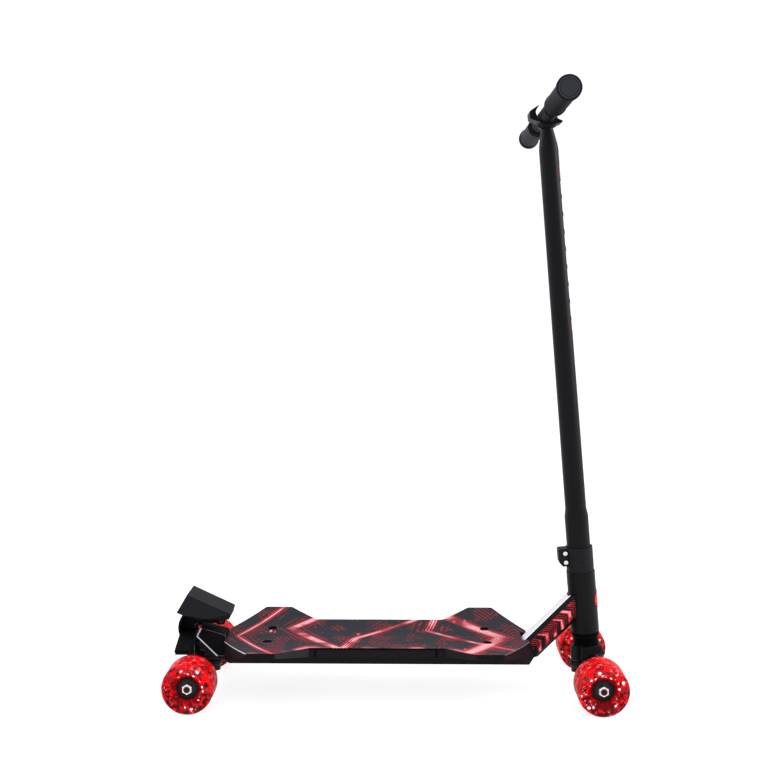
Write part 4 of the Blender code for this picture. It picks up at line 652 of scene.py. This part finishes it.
def plain_red(name):
    """A red badge with no print, under clear varnish."""
    f = Finish(name)
    cloud = f.noise(6 * MM)
    return f.done(
        Base_Color=f.mix(cloud, (0.62, 0.012, 0.018), (0.78, 0.02, 0.025)),
        Roughness=0.3 + 0.1 * cloud, Specular_IOR_Level=0.1, Coat_Weight=0.1)


AXLES = {"front": AXLE_X, "rear": -AXLE_X}
EDGE_HIGHLIGHT = (0.34, 0.34, 0.35)  # a painted highlight on the edges of black parts

black_frame = powder_coat("black_frame")
black_cast = cast_coat("black_cast")
charcoal = moulded(
    "charcoal_plastic", (0.0075, 0.0078, 0.009), (0.0105, 0.0108, 0.0125),
    rough=0.48, edge_highlight_tone=(0.05, 0.052, 0.06), specular=0.07)
holder_black = moulded(
    "holder_plastic", (0.004, 0.004, 0.0045), (0.007, 0.007, 0.0078),
    rough=0.36, edge_highlight_tone=(0.04, 0.04, 0.043), specular=0.04)
pedal_paint = pedal_finish()
# Painted shade: a near black for the fork and lower headset under the head tube, and for the deck bolts in
# their holes
fork_black = shadow_black("fork_black")
bolt_black = shadow_black("bolt_black", tone=0.0015)
yoke_black = shadow_black("yoke_black", tone=0.007, rim=1.1 * MM, edge_highlight=EDGE_HIGHLIGHT)
riser_black = shadow_black("riser_black", tone=0.007, rim=1.1 * MM, edge_highlight=EDGE_HIGHLIGHT, painted_highlight=riser_edge_highlight)
bar_black = bar_coat("bar_black")
rubber = grip_rubber("grip_rubber")
steel = zinc_steel("bright_steel")
dark_steel = zinc_steel("dark_steel", tone=(0.02, 0.02, 0.0225), rough=0.36)
nylon = urethane("red_nylon", (0.62, 0.24, 0.26), (0.75, 0.33, 0.35))
bushing = urethane("bushing_urethane", (0.012, 0.011, 0.012), (0.02, 0.018, 0.02))
stem_paint = stem_finish()
deck_paint = deck_finish()
neck_paint = neck_finish()
badge_red = plain_red("badge_red")
wheel_red = {end: wheel_cast(f"wheel_cast_{end}", axle_x) for end, axle_x in AXLES.items()}
core_of = {end: core_plastic(f"core_{end}", axle_x) for end, axle_x in AXLES.items()}
bearing_of = {end: bearing_finish(f"bearing_{end}", axle_x) for end, axle_x in AXLES.items()}

floor_finish = Finish("floor_paint")
floor.data.materials.append(floor_finish.done(
    Base_Color=floor_finish.mix(floor_finish.noise(0.5), (0.3, 0.3, 0.3), (0.32, 0.32, 0.32)),
    Roughness=0.9, Specular_IOR_Level=0.0, Emission_Color=(1, 1, 1), Emission_Strength=0.83))

# ---------------------------------------------------------------- the CAD nodes' finishes

BY_SLOT = {
    "deck_plastic": deck_paint, "charcoal_plastic": charcoal, "black_frame": black_frame,
    "black_cast": black_cast, "grip_rubber": rubber, "bushing_urethane": bushing, "bright_steel": steel,
}
BY_NODE = {
    "neck": neck_paint, "stem": stem_paint, "handle_holder": holder_black, "brake_pedal": pedal_paint,
    "rear_riser": riser_black, "brake_yoke": yoke_black,
    **dict.fromkeys(("fork", "headset_lower"), fork_black),
    **dict.fromkeys(("handle_tube_left", "handle_tube_right", "crossbar"), bar_black),
    **dict.fromkeys((f"deck_bolt_{number}" for number in range(1, 5)), bolt_black),
    **dict.fromkeys(("front_axle", "front_kingpin", "front_kingpin_nut"), dark_steel),
    **dict.fromkeys(("rear_axle", "rear_kingpin", "rear_kingpin_nut", "brake_pin"), dark_steel),
}
WHEEL_SLOTS = {"wheel_urethane": wheel_red, "core_plastic": core_of}
SAME_POINT = 2e-6  # vertices no further apart than this are one

for part in frame["record"]["subparts"]:
    node, slot = NODES[part["node"]], part["material_slot"]
    if slot in WHEEL_SLOTS:
        paint = WHEEL_SLOTS[slot]["front" if "front" in node.name else "rear"]
    else:
        paint = BY_NODE.get(node.name, BY_SLOT.get(slot))
    node.data.materials.clear()
    node.data.materials.append(paint)
    node.data.polygons.foreach_set("use_smooth", [True] * len(node.data.polygons))
    weld = node.modifiers.new("weld", "WELD")
    weld.merge_threshold = SAME_POINT
    split = node.modifiers.new("sharp edges", "EDGE_SPLIT")
    split.split_angle = radians(34)

# ---------------------------------------------------------------- modelling helpers


def start(add, **settings):
    """A new primitive, the only thing selected."""
    bpy.ops.object.select_all(action="DESELECT")
    add(**settings)
    return bpy.context.object


def cylinder(vertices, radius, depth, **place):
    """A new cylinder whose place and turn are already in its mesh."""
    obj = start(bpy.ops.mesh.primitive_cylinder_add, vertices=vertices, radius=radius, depth=depth, **place)
    bpy.ops.object.transform_apply(location=True, rotation=True)
    return obj


def pick(obj, kind, test):
    """In edit mode, selects only the faces (centre, normal) or edges (middle, run) that pass the test."""
    bpy.ops.object.mode_set(mode="EDIT")
    bpy.ops.mesh.select_mode(type=kind)
    bpy.ops.mesh.select_all(action="DESELECT")
    bpy.ops.object.mode_set(mode="OBJECT")
    mesh = obj.data
    if kind == "FACE":
        for face in mesh.polygons:
            face.select = test(face.center, face.normal)
    else:
        for line in mesh.edges:
            a, b = (mesh.vertices[i].co for i in line.vertices)
            line.select = test((a + b) / 2, b - a)
    bpy.ops.object.mode_set(mode="EDIT")


def inset_steps(way, *steps):
    """Insets the picked face again and again: each time how far in, then how far out along Y, in mm."""
    for inward, out in steps:
        bpy.ops.mesh.inset(thickness=inward * MM)
        bpy.ops.transform.translate(value=(0, way * out * MM, 0))


def extrude(along):
    """Extrudes the picked face along Y."""
    bpy.ops.mesh.extrude_region_move(TRANSFORM_OT_translate={"value": (0, along, 0)})


def pick_end(obj, way):
    """Picks the face on the axle line at the end on that side of Y."""
    pick(obj, "FACE", lambda at, n: n.y * way > 0.99 and at.xz.length < 0.1 * MM)


def bore(obj):
    """Cuts a hole right through between the two end faces on the axle line."""
    pick(obj, "FACE", lambda at, n: abs(n.y) > 0.99 and at.xz.length < 0.1 * MM)
    bpy.ops.mesh.bridge_edge_loops()
    bpy.ops.object.mode_set(mode="OBJECT")


def bake_in(obj):
    """Puts an object's modifiers and its place into its mesh, and leaves it the only thing selected."""
    if bpy.context.object and bpy.context.object.mode != "OBJECT":
        bpy.ops.object.mode_set(mode="OBJECT")
    bpy.ops.object.select_all(action="DESELECT")
    obj.select_set(True)
    bpy.context.view_layer.objects.active = obj
    for modifier in list(obj.modifiers):
        bpy.ops.object.modifier_apply(modifier=modifier.name)
    bpy.ops.object.transform_apply(location=True, rotation=True, scale=True)


def settle(obj, name, body, paint, slot, *stands_for, angle):
    """Names a finished piece, puts its place in its mesh, and hands it to its body."""
    bake_in(obj)
    bpy.ops.object.shade_smooth_by_angle(angle=radians(angle))
    obj.name = obj.data.name = name
    obj.data.materials.clear()
    obj.data.materials.append(paint)
    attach(obj, body)
    if stands_for:
        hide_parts(*stands_for)
    return obj


def copy_of(obj, place=(0, 0, 0), turn=Matrix.Identity(4)):
    """A copy with its own mesh, moved there in its mesh."""
    twin = bpy.data.objects.new(obj.name + "_copy", obj.data.copy())
    bpy.context.scene.collection.objects.link(twin)
    twin.data.transform(Matrix.Translation(place) @ turn)
    return twin


# Each side of the scooter: the sign of its Y, and the turn for a shape whose outer side is made as +Y
SIDES = {"left": (1, Matrix.Rotation(0, 4, "Z")), "right": (-1, Matrix.Rotation(pi, 4, "Z"))}

# ---------------------------------------------------------------- wheels, modelled at the origin along Y


def tyre_shape():
    """A fat cast tread with rounded shoulders and a lip at the core, deeply dished on its outer side."""
    obj = cylinder(96, WHEEL_R, 2 * WHEEL_HALF, rotation=(pi / 2, 0, 0))
    pick(obj, "EDGE", lambda at, run: abs(abs(at.y) - WHEEL_HALF) < 1e-5)
    bpy.ops.mesh.bevel(offset=7.2 * MM, offset_type="OFFSET", segments=8, profile=0.5)
    pick_end(obj, 1)
    inset_steps(1, (1.4, 0), (3.4, -2.2), (4.0, -4.2), (3.6, -3.7), (0.7, 0.9), (0.9, 0))
    pick_end(obj, -1)
    inset_steps(-1, (4.2, 0), (3.6, -0.9), (4.4, -0.3), (0.9, 0.9), (0.9, 0))
    bore(obj)
    return obj


def core_shape():
    """The moulded core: a drum inside the tread with a bearing collar at each end, the outer one sunk."""
    obj = cylinder(64, CORE_R, 27 * MM, location=(0, -2.5 * MM, 0), rotation=(pi / 2, 0, 0))
    for way, collar in ((1, 2.6), (-1, 7.3)):
        pick_end(obj, way)
        bpy.ops.mesh.inset(thickness=8.5 * MM)
        extrude(way * collar * MM)
        extrude(way * 0.3 * MM)
        bpy.ops.transform.resize(value=(0.975, 1, 0.975))
        inset_steps(way, (0.5, -0.25), (0.9, 0.1), (0.45, 0))
    bore(obj)
    return obj


def bearing_shape():
    """Two shielded ball bearings on the spacer sleeve: outer ring, sunk shield, inner ring."""
    obj = cylinder(48, BEARING_R, BEARING_LENGTH, rotation=(pi / 2, 0, 0))
    for way in (1, -1):
        pick_end(obj, way)
        inset_steps(way, (0.3, 0), (1.5, 0), (0.15, -0.5), (2.5, 0), (0.15, 0.5), (1.9, 0))
    bore(obj)
    return obj


tyre, core, bearing = tyre_shape(), core_shape(), bearing_shape()
for end, axle_x in AXLES.items():
    for hand, (way, outward) in SIDES.items():
        where = f"{end}_{hand}"
        body = f"wheel_{where}"
        centre = (axle_x, way * WHEEL_Y, WHEEL_R)
        settle(copy_of(tyre, centre, outward), f"clear_tyre_{where}", body, wheel_red[end],
               "wheel_urethane", f"tyre_{where}", angle=50)
        settle(copy_of(core, centre, outward), f"moulded_core_{where}", body, core_of[end],
               "core_plastic", f"hub_core_{where}", angle=40)
        low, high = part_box(f"bearings_{where}")
        seat = (axle_x, (low.y + high.y) / 2, WHEEL_R)
        settle(copy_of(bearing, seat), f"shielded_bearings_{where}", body, bearing_of[end],
               "bright_steel", f"bearings_{where}", angle=30)
for shape in (tyre, core, bearing):
    bpy.data.objects.remove(shape)

# ---------------------------------------------------------------- grips, modelled on the bar's own line

GRIP_R = 13.8 * MM
GRIP_IN, GRIP_END = 89 * MM, 206 * MM
# Lengths along the bar; a taper stands on both sides of the barrel
GRIP_COLLAR, GRIP_TAPER, GRIP_FLANGE, GRIP_CROWN = 5.5 * MM, 1.5 * MM, 4.4 * MM, 1.55 * MM
GRIP_BARREL = GRIP_END - GRIP_IN - GRIP_COLLAR - 2 * GRIP_TAPER - GRIP_FLANGE - GRIP_CROWN


def grip_shape():
    """A moulded sleeve along +Y: a collar, a slim barrel, a flange and a dished end with a raised ring."""
    radius = GRIP_R + 0.7 * MM
    middle = (0, GRIP_IN + GRIP_COLLAR / 2, 0)
    obj = cylinder(64, radius, GRIP_COLLAR, location=middle, rotation=(-pi / 2, 0, 0))
    pick(obj, "FACE", lambda at, n: n.y > 0.99)
    # Each step along the bar, and how much the radius grows over it
    for along, grow in ((GRIP_TAPER, -0.7 * MM), (GRIP_BARREL, 0), (GRIP_TAPER, 1.7 * MM), (GRIP_FLANGE, 0)):
        extrude(along)
        size = (radius + grow) / radius
        bpy.ops.transform.resize(value=(size, 1, size))
        radius += grow
    inset_steps(1, (0.5, 0.9), (0.9, 0.5), (0.6, 0.15), (0.5, -0.35), (0.7, -0.45), (0.9, 0), (0.5, 0.45))
    pick(obj, "FACE", lambda at, n: n.y < -0.99)
    inset_steps(-1, (1.2, 0), (3.2, -3))
    bpy.ops.object.mode_set(mode="OBJECT")
    return obj


grip = grip_shape()
for hand, (way, outward) in SIDES.items():
    settle(copy_of(grip, (BAR_X, 0, BAR_Z), outward), f"rubber_grip_{hand}", f"handle_{hand}", rubber,
           "grip_rubber", f"grip_{hand}", angle=38)
bpy.data.objects.remove(grip)

# ---------------------------------------------------------------- bushings and the brake's spring


def ring_shape(vertices, radius, hole, depth, rounding, segments, middle=Vector((0, 0, 0))):
    """A ring round a line along Z, with a hole of that radius and its outer edges rounded."""
    obj = cylinder(vertices, radius, depth, location=middle)
    pick(obj, "FACE", lambda at, n: abs(n.z) > 0.99)
    bpy.ops.mesh.inset(thickness=radius - hole)
    bpy.ops.mesh.bridge_edge_loops()
    pick(obj, "EDGE", lambda at, run: abs(run.z) < 1e-6 and (at - middle).xy.length > radius - 0.1 * MM)
    bpy.ops.mesh.bevel(offset=rounding, segments=segments)
    bpy.ops.object.mode_set(mode="OBJECT")
    return obj


for end, carrier in (("front", "steering"), ("rear", "chassis")):
    for level in ("upper", "lower"):
        node_name = f"{end}_bushing_{level}"
        low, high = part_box(node_name)
        size = high - low
        seat = high.z if level == "upper" else low.z
        ring = ring_shape(48, size.x / 2, hole=4.3 * MM, depth=size.z, rounding=1.1 * MM, segments=4,
                          middle=(low + high) / 2)
        settle(ring, f"cast_{node_name}", carrier, bushing, "bushing_urethane", node_name, angle=40)
        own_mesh(ring)

low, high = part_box("brake_spring")
coil = copy_of(NODES["brake_spring"])
bake_in(coil)
bpy.ops.object.mode_set(mode="EDIT")
bpy.ops.mesh.select_all(action="SELECT")
bpy.ops.mesh.remove_doubles(threshold=SAME_POINT)
settle(coil, "coil_spring", "rear_truck", steel, "bright_steel", "brake_spring", angle=50)
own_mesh(coil)

# ---------------------------------------------------------------- lock-nut rings and the badge

insert = ring_shape(40, 5.1 * MM, hole=4.12 * MM, depth=1.2 * MM, rounding=0.3 * MM, segments=3)
for end in AXLES:
    for hand, (way, _) in SIDES.items():
        low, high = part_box(f"axle_nut_{end}_{hand}")
        face = high.y if way > 0 else low.y
        place = ((low.x + high.x) / 2, face - way * 0.25 * MM, (low.z + high.z) / 2)
        settle(copy_of(insert, place, Matrix.Rotation(pi / 2, 4, "X")), f"nut_ring_{end}_{hand}",
               f"{end}_truck", nylon, "bushing_urethane", angle=40)
bpy.data.objects.remove(insert)

BADGE_Z = 96 * MM  # along the steering axis from axle height


def badge_shape():
    """A thin oval plate bent round the head tube, cut out of a sleeve in the steering axis' own frame."""
    sleeve = cylinder(160, HEAD_R + 0.75 * MM, 40 * MM, location=(0, 0, BADGE_Z))
    inner = cylinder(160, HEAD_R - 0.1 * MM, 60 * MM, location=(0, 0, BADGE_Z))
    oval = start(bpy.ops.mesh.primitive_cylinder_add, vertices=72, radius=1, depth=1,
                 location=(22 * MM, 0, BADGE_Z), rotation=(0, pi / 2, 0))
    oval.scale = (13.3 * MM, 13.1 * MM, 30 * MM)
    for operation, cutter in (("DIFFERENCE", inner), ("INTERSECT", oval)):
        cut = sleeve.modifiers.new(operation.lower(), "BOOLEAN")
        cut.operation, cut.object, cut.solver = operation, cutter, "EXACT"
    rounded = sleeve.modifiers.new("rounded rim", "BEVEL")
    rounded.width, rounded.segments = 0.25 * MM, 3
    rounded.limit_method, rounded.angle_limit = "ANGLE", radians(50)
    bake_in(sleeve)
    for cutter in (inner, oval):
        bpy.data.objects.remove(cutter)
    sleeve.matrix_world = STEER
    return sleeve


settle(badge_shape(), "oval_badge", "chassis", badge_red, "charcoal_plastic", angle=40)

# ---------------------------------------------------------------- the weld between neck and head tube

# In the steering axis' own frame: where the neck's sides meet the tube, and the plane of its top face
SEAM_BEHIND, SEAM_ASIDE, SEAM_LOW = -12.1 * MM, 16 * MM, 78 * MM
NECK_TOP_Z, NECK_TOP_SLOPE = 120.9 * MM, 0.851


def bead(at, run):
    """One drop of weld metal, flat along run so that a row of them overlaps in ripples."""
    obj = start(bpy.ops.mesh.primitive_ico_sphere_add, subdivisions=2, radius=1.35 * MM, location=at)
    bpy.ops.object.mode_set(mode="EDIT")
    bpy.ops.transform.resize(value=(1, 1, 0.6))
    bpy.ops.object.mode_set(mode="OBJECT")
    obj.rotation_euler = run.to_track_quat("Z", "Y").to_euler()
    return obj


def seam_point(across):
    """Where the neck's sloping top face meets the head tube, this far from the centre plane."""
    behind = -(HEAD_R**2 - across**2) ** 0.5
    return STEER @ Vector((behind, across, NECK_TOP_Z + NECK_TOP_SLOPE * behind))


def seam_run(across):
    """The seam's direction there."""
    return seam_point(across + 0.3 * MM) - seam_point(across - 0.3 * MM)


upright = STEER.to_3x3() @ Vector((0, 0, 1))
drops = []
for way in (1, -1):
    for step in range(20):
        at = Vector((SEAM_BEHIND, way * SEAM_ASIDE, SEAM_LOW + step * 1.7 * MM))
        drops.append(bead(STEER @ at, upright))
for step in range(-10, 11):
    drops.append(bead(seam_point(step * 1.58 * MM), seam_run(step * 1.5 * MM)))
bpy.ops.object.select_all(action="DESELECT")
for drop in drops:
    drop.select_set(True)
bpy.context.view_layer.objects.active = drops[0]
bpy.ops.object.join()
settle(drops[0], "neck_weld", "chassis", black_frame, "black_frame", angle=60)
